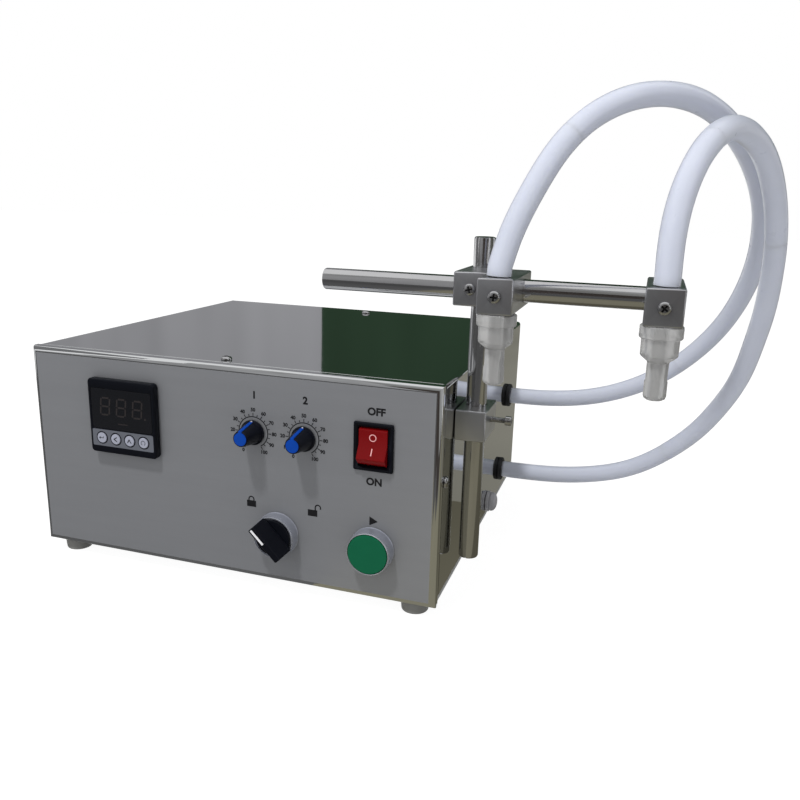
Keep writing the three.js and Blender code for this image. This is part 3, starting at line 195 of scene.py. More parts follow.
class FILLER_PG_stage(PropertyGroup):
    floor_size: FloatProperty(
        name="Floor size", description="Side of the square floor", default=12.0, unit="LENGTH",
    )
    floor_glow: FloatProperty(
        name="Floor glow", description="Strength of the floor's own white", default=1.3,
    )
    glow_share: FloatProperty(
        name="Glow share", description="Share of that white in what the camera sees", default=0.7,
    )
    sky_light: FloatProperty(
        name="Sky light", description="Strength of the even light from all round", default=0.52,
    )
    key_light: FloatProperty(
        name="Key light", description="Power of the small soft lamp overhead", default=11.0,
    )
    fill_light: FloatProperty(
        name="Fill light", description="Power of the large soft lamp at the front", default=3.5,
    )


class FILLER_PG_hoses(PropertyGroup):
    radius: FloatProperty(
        name="Radius", description="Outside radius of the hoses", default=0.0065, unit="LENGTH",
        precision=4,
    )
    step: FloatProperty(
        name="Step", description="Distance between the rings of a hose", default=0.0025, unit="LENGTH",
        precision=4,
    )
    sides: IntProperty(name="Sides", description="Sides of a quarter of a hose's section", default=7)
    passes: IntProperty(name="Passes", description="How often small waves are smoothed out", default=60)


class FILLER_PG_finish(PropertyGroup):
    panel: FloatVectorProperty(
        name="Panel", description="Colour of the satin front panel", subtype="COLOR",
        default=(0.264, 0.270, 0.286),
    )
    mirror: FloatVectorProperty(
        name="Mirror sheet", description="Colour of the polished cover", subtype="COLOR",
        default=(0.62, 0.63, 0.64),
    )
    milky: FloatVectorProperty(
        name="Hose", description="Colour of the milky hoses", subtype="COLOR",
        default=(0.61, 0.64, 0.735),
    )
    cap: FloatVectorProperty(
        name="Knob cap", description="Colour of the knobs' caps", subtype="COLOR",
        default=(0.002, 0.05, 0.335),
    )
    rocker: FloatVectorProperty(
        name="Rocker", description="Colour of the rocker", subtype="COLOR",
        default=(0.165, 0.003, 0.004),
    )
    start: FloatVectorProperty(
        name="Start button", description="Colour of the start button", subtype="COLOR",
        default=(0.004, 0.11, 0.05),
    )


class FILLER_PG_panel(PropertyGroup):
    letter_height: FloatProperty(
        name="Letter height", description="Height of the words over the switches", default=0.0046,
        unit="LENGTH", precision=4,
    )
    number_height: FloatProperty(
        name="Number height", description="Height of the dials' numbers", default=0.0023,
        unit="LENGTH", precision=4,
    )
    boldness: FloatProperty(
        name="Boldness", description="How far letters swell, as a share of their height", default=0.055,
    )
    ink_thick: FloatProperty(
        name="Ink", description="Thickness of the printing", default=0.00006, unit="LENGTH", precision=5,
    )


# Materials


def new_paint(name):
    """A material, its nodes and the call that links their sockets."""
    material = bpy.data.materials.new(name)
    material.use_nodes = True
    return material, material.node_tree.nodes, material.node_tree.links.new


def put(nodes, kind, values=()):
    """A new shader node with some of its inputs set."""
    node = nodes.new("ShaderNode" + kind)
    for name, value in dict(values).items():
        node.inputs[name].default_value = value
    return node


def background_rays(nodes, link):
    """A socket that is 1 for the rays that see the background: camera, glossy and transmission."""
    rays = put(nodes, "LightPath")
    seen = rays.outputs["Is Camera Ray"]
    for kind in ("Is Glossy Ray", "Is Transmission Ray"):
        either = put(nodes, "Math")
        either.operation = "MAXIMUM"
        link(seen, either.inputs[0])
        link(rays.outputs[kind], either.inputs[1])
        seen = either.outputs["Value"]
    return seen


def surface(name, colour, roughness, metallic=0.0, *, patch=0.0, patch_size=40.0, streak=(1, 1, 1),
            edge_highlight=0.0, relief=0.0, relief_size=900.0, coat=0.0, coat_roughness=0.1, see_through=0.0,
            ior=1.45, scatter=0.0, rough_change=0.0, gleam=0.5):
    """A finish with its own drifts of colour and gloss, and a fine relief, on Object coordinates."""
    material, nodes, link = new_paint(name)
    shader = nodes["Principled BSDF"]
    for socket, value in {
        "Metallic": metallic, "IOR": ior, "Specular IOR Level": gleam, "Coat Weight": coat,
        "Coat Roughness": coat_roughness, "Transmission Weight": see_through,
        "Subsurface Weight": scatter, "Subsurface Radius": SCATTER_REACH, "Subsurface Scale": 1.0,
    }.items():
        shader.inputs[socket].default_value = value
    place = put(nodes, "TexCoord")
    stretch = put(nodes, "Mapping", {"Scale": streak})
    link(place.outputs["Object"], stretch.inputs["Vector"])

    drift = put(nodes, "TexNoise", {"Scale": patch_size, "Detail": 5, "Roughness": 0.6})
    link(stretch.outputs["Vector"], drift.inputs["Vector"])
    tint = put(nodes, "Mix")
    tint.data_type = "RGBA"
    tint.inputs["A"].default_value = (*(c * (1 - patch) for c in colour), 1)
    tint.inputs["B"].default_value = (*(min(1.0, c * (1 + patch)) for c in colour), 1)
    link(drift.outputs["Fac"], tint.inputs["Factor"])
    last = tint.outputs["Result"]
    # Convex edges, found by pointiness, are lightened towards a near-white colour as a painted highlight
    if edge_highlight:
        edge = put(nodes, "NewGeometry")
        highlight_mask = put(nodes, "MapRange", {"From Min": 0.52, "From Max": 0.62, "To Max": edge_highlight})
        link(edge.outputs["Pointiness"], highlight_mask.inputs["Value"])
        highlight_mix = put(nodes, "Mix")
        highlight_mix.data_type = "RGBA"
        highlight_mix.inputs["B"].default_value = EDGE_HIGHLIGHT_COLOUR
        link(highlight_mask.outputs["Result"], highlight_mix.inputs["Factor"])
        link(last, highlight_mix.inputs["A"])
        last = highlight_mix.outputs["Result"]
    link(last, shader.inputs["Base Color"])

    fine = put(nodes, "TexNoise", {"Scale": relief_size, "Detail": 3})
    link(stretch.outputs["Vector"], fine.inputs["Vector"])
    gloss = put(nodes, "MapRange", {
        "To Min": max(0.02, roughness - rough_change), "To Max": min(1.0, roughness + rough_change),
    })
    link(fine.outputs["Fac"], gloss.inputs["Value"])
    link(gloss.outputs["Result"], shader.inputs["Roughness"])
    if relief:
        bump = put(nodes, "Bump", {"Strength": 1.0, "Distance": relief * MM})
        link(fine.outputs["Fac"], bump.inputs["Height"])
        link(bump.outputs["Normal"], shader.inputs["Normal"])
    return material


def make_finishes(finish):
    """All the finishes of the machine, by the record's slots and a few more."""
    dark = {"patch": 0.2, "patch_size": 300, "relief": 0.006, "relief_size": 2200}
    return {
        "panel_grey": surface(
            "satin panel steel", finish.panel, 0.38, 0.35, patch=0.05, patch_size=9,
            streak=(1, 1, 14), relief=0.004, relief_size=1500, rough_change=0.05,
        ),
        "mirror_steel": surface(
            "mirror steel", finish.mirror, 0.045, 1.0, patch=0.02, patch_size=6, rough_change=0.02,
        ),
        "bright_steel": surface(
            "polished rod steel", (0.52, 0.52, 0.53), 0.12, 1.0, patch=0.05, patch_size=90,
            relief=0.002, relief_size=700, rough_change=0.05,
        ),
        "screw_steel": surface(
            "plated screw steel", (0.45, 0.45, 0.46), 0.22, 1.0, patch=0.12, patch_size=500,
            rough_change=0.08,
        ),
        # The milled blocks' convex edges are lightened as a painted highlight
        "milled_aluminium": surface(
            "milled aluminium", (0.40, 0.405, 0.43), 0.3, 0.95, patch=0.12, patch_size=60,
            streak=(1, 9, 1), edge_highlight=0.7, rough_change=0.05,
        ),
        "plain_sheet": surface(
            "plain sheet", (0.38, 0.39, 0.40), 0.42, 0.85, patch=0.1, patch_size=35, relief=0.006,
            relief_size=260, rough_change=0.1,
        ),
        "zinc": surface(
            "zinc plating", (0.33, 0.34, 0.35), 0.36, 0.9, patch=0.1, patch_size=70, rough_change=0.08,
        ),
        "black_rubber": surface(
            "black rubber", (0.010, 0.011, 0.014), 0.6, patch=0.3, patch_size=200, relief=0.02,
            rough_change=0.08,
        ),
        "grey_rubber": surface(
            "grey foot rubber", (0.185, 0.185, 0.175), 0.62, patch=0.18, patch_size=160, relief=0.02,
            rough_change=0.08,
        ),
        "black_plastic": surface(
            "black moulded plastic", (0.004, 0.0048, 0.008), 0.36, rough_change=0.05, gleam=0.16, **dark,
        ),
        "knob_black": surface(
            "knob plastic", (0.003, 0.004, 0.009), 0.34, rough_change=0.06, gleam=0.25, **dark,
        ),
        "smoky_window": surface(
            "smoky window", (0.0045, 0.005, 0.007), 0.07, patch=0.1, patch_size=30, coat=0.4,
            coat_roughness=0.03, rough_change=0.02,
        ),
        "digit_grey": surface("unlit digits", (0.026, 0.022, 0.022), 0.25, patch=0.1, patch_size=90),
        "key_strip": surface(
            "key strip", (0.16, 0.17, 0.20), 0.45, 0.3, patch=0.06, patch_size=300, rough_change=0.04,
        ),
        "key_grey": surface(
            "key plastic", (0.34, 0.355, 0.43), 0.42, patch=0.06, patch_size=400, relief=0.004,
        ),
        "blue_plastic": surface(
            "blue cap plastic", finish.cap, 0.42, patch=0.1, patch_size=250, relief=0.004,
            rough_change=0.05, gleam=0.1,
        ),
        "red_plastic": surface(
            "red rocker plastic", finish.rocker, 0.22, patch=0.08, patch_size=120, coat=0.03,
            coat_roughness=0.08, rough_change=0.04, gleam=0.16,
        ),
        "green_plastic": surface(
            "green button plastic", finish.start, 0.5, patch=0.06, patch_size=120, relief=0.006,
            relief_size=1800, rough_change=0.05, gleam=0.12,
        ),
        "bezel_grey": surface(
            "bezel plating", (0.42, 0.44, 0.51), 0.3, 0.6, patch=0.03, patch_size=60, rough_change=0.015,
        ),
        # The bezels' front rims are painted lighter than the rest of the plating as a painted highlight
        "bezel_rim_highlight": surface(
            "bezel rim painted highlight", (0.52, 0.54, 0.60), 0.24, 0.7, patch=0.03, patch_size=60,
        ),
        "gland_grey": surface(
            "gland plastic", (0.38, 0.38, 0.40), 0.36, patch=0.08, patch_size=200, relief=0.006,
            rough_change=0.05,
        ),
        "milky_plastic": surface(
            "milky nozzle plastic", (0.54, 0.54, 0.535), 0.22, patch=0.05, patch_size=110,
            see_through=0.6, ior=1.3, relief=0.004, rough_change=0.06,
        ),
        "milky_hose": surface(
            "milky hose", finish.milky, 0.3, patch=0.04, patch_size=60, coat=0.25,
            coat_roughness=0.22, relief=0.01, relief_size=160, rough_change=0.07, ior=1.41, scatter=0.35,
        ),
        "ink_black": surface("black ink", (0.008, 0.008, 0.010), 0.5, patch=0.2, patch_size=800),
        "ink_white": surface("white ink", (0.8, 0.8, 0.82), 0.45, patch=0.04, patch_size=800),
        "ink_pink": surface("pale red ink", (0.85, 0.42, 0.42), 0.4, patch=0.04, patch_size=800),
        # The screws' cross recesses get this near-black colour as painted shade
        "painted_recess_shade": surface(
            "painted recess shade", (0.016, 0.016, 0.017), 0.5, 0.3, patch=0.2, patch_size=500,
        ),
        "board_green": surface(
            "circuit board", (0.012, 0.10, 0.035), 0.3, patch=0.25, patch_size=150, coat=0.3,
        ),
    }


FINISHES = {}


def finish_of(slot):
    """The finish of a slot, made with all the others on its first use."""
    if not FINISHES:
        FINISHES.update(make_finishes(bpy.context.scene.filler_finish))
    return FINISHES[slot]


# Making pieces


def piece(name, bm, slot, body, *nodes, smooth=SHARP_ANGLE, material=None):
    """Turns a bmesh into a piece of the machine that rides on a body and stands for CAD nodes."""
    mesh = bpy.data.meshes.new(name)
    bm.to_mesh(mesh)
    bm.free()
    return settled(name, mesh, slot, body, *nodes, smooth=smooth, material=material)


def settled(name, mesh, slot, body, *nodes, smooth=SHARP_ANGLE, material=None):
    """Turns a mesh that lies in its place into a piece of the machine."""
    thing = bpy.data.objects.new(name, mesh)
    bpy.context.scene.collection.objects.link(thing)
    mesh.materials.clear()
    mesh.materials.append(finish_of(material or slot))
    if smooth:
        mesh.shade_smooth()
        mesh.set_sharp_from_angle(angle=math.radians(smooth))
        even_faces(thing)
    if body:
        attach(thing, body)
    if nodes:
        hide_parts(*nodes)
    return thing


def even_faces(thing):
    """Shades a piece by its large faces, with its sharp edges kept."""
    even = thing.modifiers.new("even faces", "WEIGHTED_NORMAL")
    even.keep_sharp = True


def printed(name, bm, slot="panel_grey", body="housing", material="ink_black"):
    """A flat sign or strip, which stands for no CAD node."""
    return piece(name, bm, slot, body, smooth=0, material=material)


def soften(bm, width, segments=2, angle=30.0):
    """Rounds the edges that turn by more than an angle."""
    bm.edges.ensure_lookup_table()
    limit = math.radians(angle)
    edges = [e for e in bm.edges if len(e.link_faces) == 2 and e.calc_face_angle() > limit]
    bmesh.ops.bevel(
        bm, geom=edges, offset=width * MM, offset_type="OFFSET", segments=segments, profile=0.5,
        affect="EDGES", clamp_overlap=True, material=-1,
    )


def turned(profile, centre, toward, sides=64):
    """A round shape from radii and distances along its axis, spun about the axis."""
    bm = bmesh.new()
    closed = profile[0] == profile[-1]
    rims = [bm.verts.new((r * MM, 0, a * MM)) for r, a in (profile[:-1] if closed else profile)]
    pairs = list(zip(rims, rims[1:])) + ([(rims[-1], rims[0])] if closed else [])
    for a, b in pairs:
        bm.edges.new((a, b))
    bmesh.ops.spin(
        bm, geom=bm.verts[:] + bm.edges[:], cent=(0, 0, 0), axis=(0, 0, 1), dvec=(0, 0, 0),
        angle=2 * math.pi, steps=sides, use_merge=True, use_duplicate=False,
    )
    bmesh.ops.remove_doubles(bm, verts=bm.verts, dist=MERGE_GAP / 2 * MM)
    bmesh.ops.recalc_face_normals(bm, faces=bm.faces)
    turn = UP.rotation_difference(toward).to_matrix().to_4x4()
    bm.transform(Matrix.Translation(centre) @ turn)
    return bm


def pulled(outline, axis, low, high, edge=0.0):
    """A flat outline pulled along an axis: along Y it holds X and Z, along X it holds Y and Z."""
    bm = bmesh.new()
    spots = [(u, low, v) if axis == "y" else (low, u, v) for u, v in outline]
    face = bm.faces.new([bm.verts.new(at(*spot)) for spot in spots])
    made = bmesh.ops.extrude_face_region(bm, geom=[face])
    far_side = [part for part in made["geom"] if isinstance(part, bmesh.types.BMVert)]
    way = {"x": RIGHT, "y": BACK}[axis] * (high - low) * MM
    bmesh.ops.translate(bm, verts=far_side, vec=way)
    bmesh.ops.recalc_face_normals(bm, faces=bm.faces)
    if edge:
        soften(bm, edge)
    return bm


def bar(size, shift=(0, 0, 0), turn=0.0, about="Y"):
    """A block of a size round the origin, moved and then turned about an axis through the origin."""
    bm = bmesh.new()
    bmesh.ops.create_cube(bm, size=1.0)
    bmesh.ops.scale(bm, vec=Vector(size) * MM, verts=bm.verts)
    bmesh.ops.translate(bm, vec=Vector(shift) * MM, verts=bm.verts)
    bmesh.ops.rotate(bm, cent=(0, 0, 0), matrix=Matrix.Rotation(turn, 3, about), verts=bm.verts)
    return bm


def block(low, high):
    """A block between two corners."""
    bm = bar(Vector(high) - Vector(low))
    bmesh.ops.translate(bm, vec=at(*((Vector(low) + Vector(high)) / 2)), verts=bm.verts)
    return bm


def round_corners(left, bottom, right, top, corner, steps=6):
    """Points of a rectangle with round corners."""
    points = []
    for x, y, start in (
        (right - corner, bottom + corner, -90), (right - corner, top - corner, 0),
        (left + corner, top - corner, 90), (left + corner, bottom + corner, 180),
    ):
        for i in range(steps + 1):
            angle = math.radians(start + 90 * i / steps)
            points.append((x + corner * math.cos(angle), y + corner * math.sin(angle)))
    return points


def join_meshes(bm, meshes):
    """Adds meshes to a bmesh and clears them away."""
    for mesh in meshes:
        bm.from_mesh(mesh)
        bpy.data.meshes.remove(mesh)
    return bm


def merge(bm, *others):
    """Adds other shapes to a bmesh."""
    for other in others:
        mesh = bpy.data.meshes.new("part of a shape")
        other.to_mesh(mesh)
        other.free()
        join_meshes(bm, [mesh])
    return bm


def made_mesh(thing):
    """A thing's mesh as its modifiers leave it."""
    bpy.context.view_layer.update()
    return bpy.data.meshes.new_from_object(thing.evaluated_get(bpy.context.evaluated_depsgraph_get()))


def mesh_of(curve):
    """The mesh of a curve or a text."""
    holder = bpy.data.objects.new("line", curve)
    bpy.context.scene.collection.objects.link(holder)
    mesh = made_mesh(holder)
    bpy.data.objects.remove(holder)
    return mesh


def copy_of(node, name, slot, body):
    """A merged copy of a CAD node with smooth bends."""
    bm = bmesh.new()
    bm.from_mesh(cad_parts[node].data)
    bmesh.ops.remove_doubles(bm, verts=bm.verts, dist=MERGE_GAP * MM)
    return piece(name, bm, slot, body, node)


def paint(node, slot):
    """A CAD node that stays as it is gets its finish."""
    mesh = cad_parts[node].data
    mesh.materials.clear()
    mesh.materials.append(finish_of(slot))


def words(text, height, centre, depth):
    """Printed words on the panel: centre is their middle in X and Z, depth their place in Y."""
    sizes = bpy.context.scene.filler_panel
    line = bpy.data.curves.new("words", "FONT")
    line.body = text
    line.size = height * CAPITAL_SHARE
    line.align_x = "CENTER"
    line.align_y = "CENTER"
    line.resolution_u = 3
    line.extrude = sizes.ink_thick / 2
    line.offset = height * sizes.boldness
    mesh = mesh_of(line)
    upright = Matrix.Rotation(math.pi / 2, 4, "X")
    mesh.transform(Matrix.Translation(at(centre[0], depth, centre[1])) @ upright)
    return mesh


# Hoses


def hose_line(route, step):
    """Points of the smooth line through a route's points, a step apart."""
    spots = [CORNER + Vector(p) for p in route]
    padded = [2 * spots[0] - spots[1], *spots, 2 * spots[-1] - spots[-2]]
    fine = [spots[0]]
    for i in range(len(spots) - 1):
        p0, p1, p2, p3 = padded[i : i + 4]
        d0, d1, d2 = (math.sqrt((b - a).length) for a, b in ((p0, p1), (p1, p2), (p2, p3)))
        t1 = ((p1 - p0) / d0 - (p2 - p0) / (d0 + d1) + (p2 - p1) / d1) * d1
        t2 = ((p2 - p1) / d1 - (p3 - p1) / (d1 + d2) + (p3 - p2) / d2) * d1
        for k in range(1, FINE_STEPS + 1):
            t = k / FINE_STEPS
            fine.append(
                p1 * (2 * t**3 - 3 * t**2 + 1) + t1 * (t**3 - 2 * t**2 + t)
                + p2 * (-2 * t**3 + 3 * t**2) + t2 * (t**3 - t**2)
            )
    lengths = [0.0]
    for a, b in zip(fine, fine[1:]):
        lengths.append(lengths[-1] + (b - a).length)
    count = round(lengths[-1] / step)
    line, j = [], 0
    for i in range(count + 1):
        want = lengths[-1] * i / count
        while j < len(fine) - 2 and lengths[j + 1] < want:
            j += 1
        share = (want - lengths[j]) / max(lengths[j + 1] - lengths[j], 1e-9)
        line.append(fine[j].lerp(fine[j + 1], min(1.0, share)))
    return line, lengths[-1]


def evened(line, passes, held=3):
    """The same line with its small waves smoothed out. The points held at each end stay."""
    for _ in range(passes):
        middle = [(line[i - 1] + 2 * line[i] + line[i + 1]) / 4 for i in range(held, len(line) - held)]
        line = line[:held] + middle + line[-held:]
    return line


def tube(name, line, sizes, first, last):
    """A closed round tube along the part of a line between two of its points, as a mesh."""
    mesh = whole_tube(name, line[max(0, first - 1) : last + 2], sizes)
    bm = bmesh.new()
    bm.from_mesh(mesh)
    for i, keep in ((first, 1), (last, -1)):
        if 0 < i < len(line) - 1:
            ahead = (line[i + 1] - line[i]).normalized() + (line[i] - line[i - 1]).normalized()
            bmesh.ops.bisect_plane(
                bm, geom=bm.verts[:] + bm.edges[:] + bm.faces[:], dist=MERGE_GAP * MM,
                plane_co=line[i], plane_no=-keep * ahead.normalized(), clear_outer=True,
            )
            bmesh.ops.holes_fill(bm, edges=[e for e in bm.edges if e.is_boundary])
    bmesh.ops.recalc_face_normals(bm, faces=bm.faces)
    bm.to_mesh(mesh)
    bm.free()
    return mesh


def whole_tube(name, line, sizes):
    """A round tube along a whole line, with flat ends, as a mesh."""
    curve = bpy.data.curves.new(name, "CURVE")
    curve.dimensions = "3D"
    curve.bevel_depth = sizes.radius
    curve.bevel_resolution = sizes.sides - 1
    curve.use_fill_caps = True
    spline = curve.splines.new("POLY")
    spline.points.add(len(line) - 1)
    for spot, p in zip(spline.points, line):
        spot.co = (*p, 1)
    mesh = mesh_of(curve)
    mesh.name = name
    return mesh


class FILLER_OT_camera(Operator):
    """Sets the camera where the picture was taken from"""

    bl_idname = "filler.camera"
    bl_label = "Camera"

    def execute(self, context):
        place = context.scene.filler_camera
        data = bpy.data.cameras.new("picture camera")
        data.lens = place.lens
        data.sensor_width = 36
        data.clip_start = 0.01
        camera = bpy.data.objects.new("picture camera", data)
        camera.location = place.location
        camera.rotation_euler = place.turn
        context.scene.collection.objects.link(camera)
        context.scene.camera = camera
        return {"FINISHED"}


class FILLER_OT_hoses(Operator):
    """Lays both milky hoses from their grommets over the top into the nozzle blocks"""

    bl_idname = "filler.hoses"
    bl_label = "Hoses"

    def execute(self, context):
        sizes = context.scene.filler_hoses
        for number, route in enumerate(HOSE_ROUTES, 1):
            line, whole = hose_line(route, sizes.step)
            line = evened(line, sizes.passes)
            last = len(line) - 1
            stops = [round(share * last) for share in HOSE_CUTS]
            ends = list(zip([body.format(number) for body in HOSE_BODIES], stops))
            for part, ((near, first), (far, end)) in enumerate(zip(ends, ends[1:]), 1):
                name = f"hose_{number}_part_{part}"
                made = settled(name, tube(name, line, sizes, first, end), "milky_hose", None, smooth=50.0)
                made.modifiers.clear()
                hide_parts(f"hose_{number}")
                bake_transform(made)
        return {"FINISHED"}


class FILLER_OT_stage(Operator):
    """Adds the pale floor, the even sky, the cards that gloss sees and the soft lamps"""

    bl_idname = "filler.stage"
    bl_label = "Stage"

    def execute(self, context):
        stage = context.scene.filler_stage
        side = stage.floor_size
        self.board("floor", side, side, Matrix(), self.floor_paint(stage))
        self.sky(context.scene, stage)
        for name, centre, facing, wide, tall, colour in CARDS:
            turn = Vector(facing).to_track_quat("Z", "Y").to_matrix().to_4x4()
            place = Matrix.Translation(centre) @ turn
            card = self.board(name, wide, tall, place, self.card_paint(name, colour))
            for ray in ("camera", "diffuse", "transmission", "shadow"):
                setattr(card, f"visible_{ray}", False)
        for name, place, size, power in (
            ("overhead lamp", (-0.17, -0.74, 1.36), 0.12, stage.key_light),
            ("front lamp", (-0.5, -1.6, 0.9), 1.1, stage.fill_light),
        ):
            data = bpy.data.lights.new(name, "AREA")
            data.shape = "SQUARE"
            data.size = size
            data.energy = power
            lamp = bpy.data.objects.new(name, data)
            lamp.location = place
            lamp.visible_glossy = False
            lamp.rotation_euler = (LIT_SPOT - Vector(place)).to_track_quat("-Z", "Y").to_euler()
            context.scene.collection.objects.link(lamp)
        context.scene.view_settings.view_transform = "Standard"
        return {"FINISHED"}

    def board(self, name, wide, tall, place, material):
        """A flat rectangle of the stage."""
        bm = bmesh.new()
        bmesh.ops.create_grid(bm, x_segments=1, y_segments=1, size=0.5)
        bmesh.ops.scale(bm, vec=(wide, tall, 1), verts=bm.verts)
        bm.transform(place)
        mesh = bpy.data.meshes.new(name)
        bm.to_mesh(mesh)
        bm.free()
        mesh.materials.append(material)
        thing = bpy.data.objects.new(name, mesh)
        bpy.context.scene.collection.objects.link(thing)
        return thing

    def card_paint(self, name, colour):
        """An uneven soft glow, as a dim room would show in gloss."""
        material, nodes, link = new_paint(name)
        nodes.remove(nodes["Principled BSDF"])
        place = put(nodes, "TexCoord")
        tall_streaks = put(nodes, "Mapping", {"Scale": (1.0, 1.0, 0.2)})
        drift = put(nodes, "TexNoise", {"Scale": 2.2})
        spread = put(nodes, "MapRange", {"From Min": 0.3, "From Max": 0.7, "To Min": 0.8, "To Max": 1.2})
        glow = put(nodes, "Emission", {"Color": (*colour, 1)})
        link(place.outputs["Object"], tall_streaks.inputs["Vector"])
        link(tall_streaks.outputs["Vector"], drift.inputs["Vector"])
        link(drift.outputs["Fac"], spread.inputs["Value"])
        link(spread.outputs["Result"], glow.inputs["Strength"])
        link(glow.outputs["Emission"], nodes["Material Output"].inputs["Surface"])
        return material

    def floor_paint(self, stage):
        """A pale floor that keeps shadows and shows white to the camera, gloss and glass."""
        material, nodes, link = new_paint("pale floor")
        plain = nodes["Principled BSDF"]
        plain.inputs["Base Color"].default_value = (0.9, 0.9, 0.9, 1)
        plain.inputs["Roughness"].default_value = 0.7
        glow = put(nodes, "Emission", {"Strength": stage.floor_glow})
        share = put(nodes, "Math", {1: stage.glow_share})
        share.operation = "MULTIPLY"
        link(background_rays(nodes, link), share.inputs[0])
        shaders = plain.outputs["BSDF"], glow.outputs["Emission"]
        self.show(nodes, link, share.outputs["Value"], shaders, "Material Output")
        return material

    def sky(self, scene, stage):
        """Even light from all round, which the camera, gloss and glass see as white."""
        world = bpy.data.worlds.new("even sky")
        world.use_nodes = True
        scene.world = world
        nodes, link = world.node_tree.nodes, world.node_tree.links.new
        even = nodes["Background"]
        white = put(nodes, "Background")
        for node, strength in ((even, stage.sky_light), (white, 1.0)):
            node.inputs["Color"].default_value = (1, 1, 1, 1)
            node.inputs["Strength"].default_value = strength
        shaders = even.outputs["Background"], white.outputs["Background"]
        self.show(nodes, link, background_rays(nodes, link), shaders, "World Output")

    def show(self, nodes, link, share, shaders, output):
        """Sends a blend of two shaders to an output."""
        blend = put(nodes, "MixShader")
        link(share, blend.inputs["Fac"])
        for i, shader in enumerate(shaders, 1):
            link(shader, blend.inputs[i])
        link(blend.outputs["Shader"], nodes[output].inputs["Surface"])


class FILLER_OT_housing(Operator):
    """Dresses the folded sheets, the feet and the cover's screws"""

    bl_idname = "filler.housing"
    bl_label = "Housing"

    def execute(self, context):
        sheet = copy_of("front_panel", "panel_sheet", "panel_grey", "housing").data
        sheet.materials.append(finish_of("mirror_steel"))
        # The front face is satin, and the folds behind it shine
        front_face = at(0, 0.02, 0).y
        for face in sheet.polygons:
            face.material_index = 1 if face.center.y > front_face else 0
        copy_of("top_cover", "cover_sheet", "mirror_steel", "housing")
        paint("chassis_tray", "plain_sheet")
        self.feet(inset_x=16.0, inset_y=13.0)
        for name, place, toward in (
            ("top_front", (138.8, 15.7, HOUSING_HEIGHT), UP),
            ("top_rear", (148.0, HOUSING_DEPTH - 17, HOUSING_HEIGHT), UP),
            ("left", (0, 12.5, 79), LEFT),
            ("right", (HOUSING_WIDTH, 12.5, 79), RIGHT),
        ):
            self.screw(f"cover_screw_{name}", place, toward)
        return {"FINISHED"}

    def feet(self, inset_x, inset_y):
        """The four rubber feet, their middles set in from the housing's corners."""
        drop = 8
        profile = [
            (0, 3), (3.4, 3), (3.4, 0), (7.6, 0), (8.3, 0.25), (8.6, 0.8), (9.2, 6.9), (9.05, 7.5),
            (8.4, 7.75), (0, 7.75),
        ]
        for row, y in (("front", inset_y), ("rear", HOUSING_DEPTH - inset_y)):
            for side, x in (("left", inset_x), ("right", HOUSING_WIDTH - inset_x)):
                foot = f"foot_{row}_{side}"
                piece(f"{foot}_rubber", turned(profile, at(x, y, -drop), UP), "black_rubber", "housing",
                      foot, material="grey_rubber")

    def screw(self, node, place, toward):
        """A round-head screw with a cross recess."""
        top = 2.2
        profile = [
            (0, -4.5), (1.6, -4.5), (1.6, CLEARANCE), (3.6, CLEARANCE), (3.6, 0.75), (3.35, 1.3),
            (2.7, 1.85), (1.9, 2.12), (1.1, top), (0, top),
        ]
        made = piece(f"{node}_head", turned(profile, at(*place), toward, 40), "bright_steel", "housing",
                     node, material="screw_steel")
        cross_cut(made, at(*place) + toward * top * MM, toward, long=4.0, wide=0.9, deep=1.0)


def cross_cut(thing, centre, toward, long, wide, deep, turn=0.0):
    """Cuts a cross recess into a screw's head, and paints its faces near black as painted shade."""
    cutter = bmesh.new()
    for quarter in (0, math.pi / 2):
        merge(cutter, bar((long, wide, 2 * deep), turn=turn + quarter, about="Z"))
    cutter.transform(Matrix.Translation(centre) @ UP.rotation_difference(toward).to_matrix().to_4x4())
    cut_from(thing, cutter, "painted_recess_shade")


def cut_from(thing, cutter, slot=None):
    """Takes a shape away from a piece, for good. The cut's faces may have a finish of their own."""
    mesh = bpy.data.meshes.new("cutter")
    cutter.to_mesh(mesh)
    mesh.materials.append(finish_of(slot) if slot else thing.data.materials[0])
    cutter.free()
    tool = bpy.data.objects.new("cutter", mesh)
    bpy.context.scene.collection.objects.link(tool)
    was_even = len(thing.modifiers) > 0
    thing.modifiers.clear()
    step = thing.modifiers.new("recess", "BOOLEAN")
    step.operation = "DIFFERENCE"
    step.solver = "EXACT"
    step.use_self = True
    step.material_mode = "TRANSFER"
    step.object = tool
    made = made_mesh(thing)
    thing.modifiers.clear()
    thing.data = made
    made.set_sharp_from_angle(angle=math.radians(SHARP_ANGLE))
    if was_even:
        even_faces(thing)
    bpy.data.objects.remove(tool)


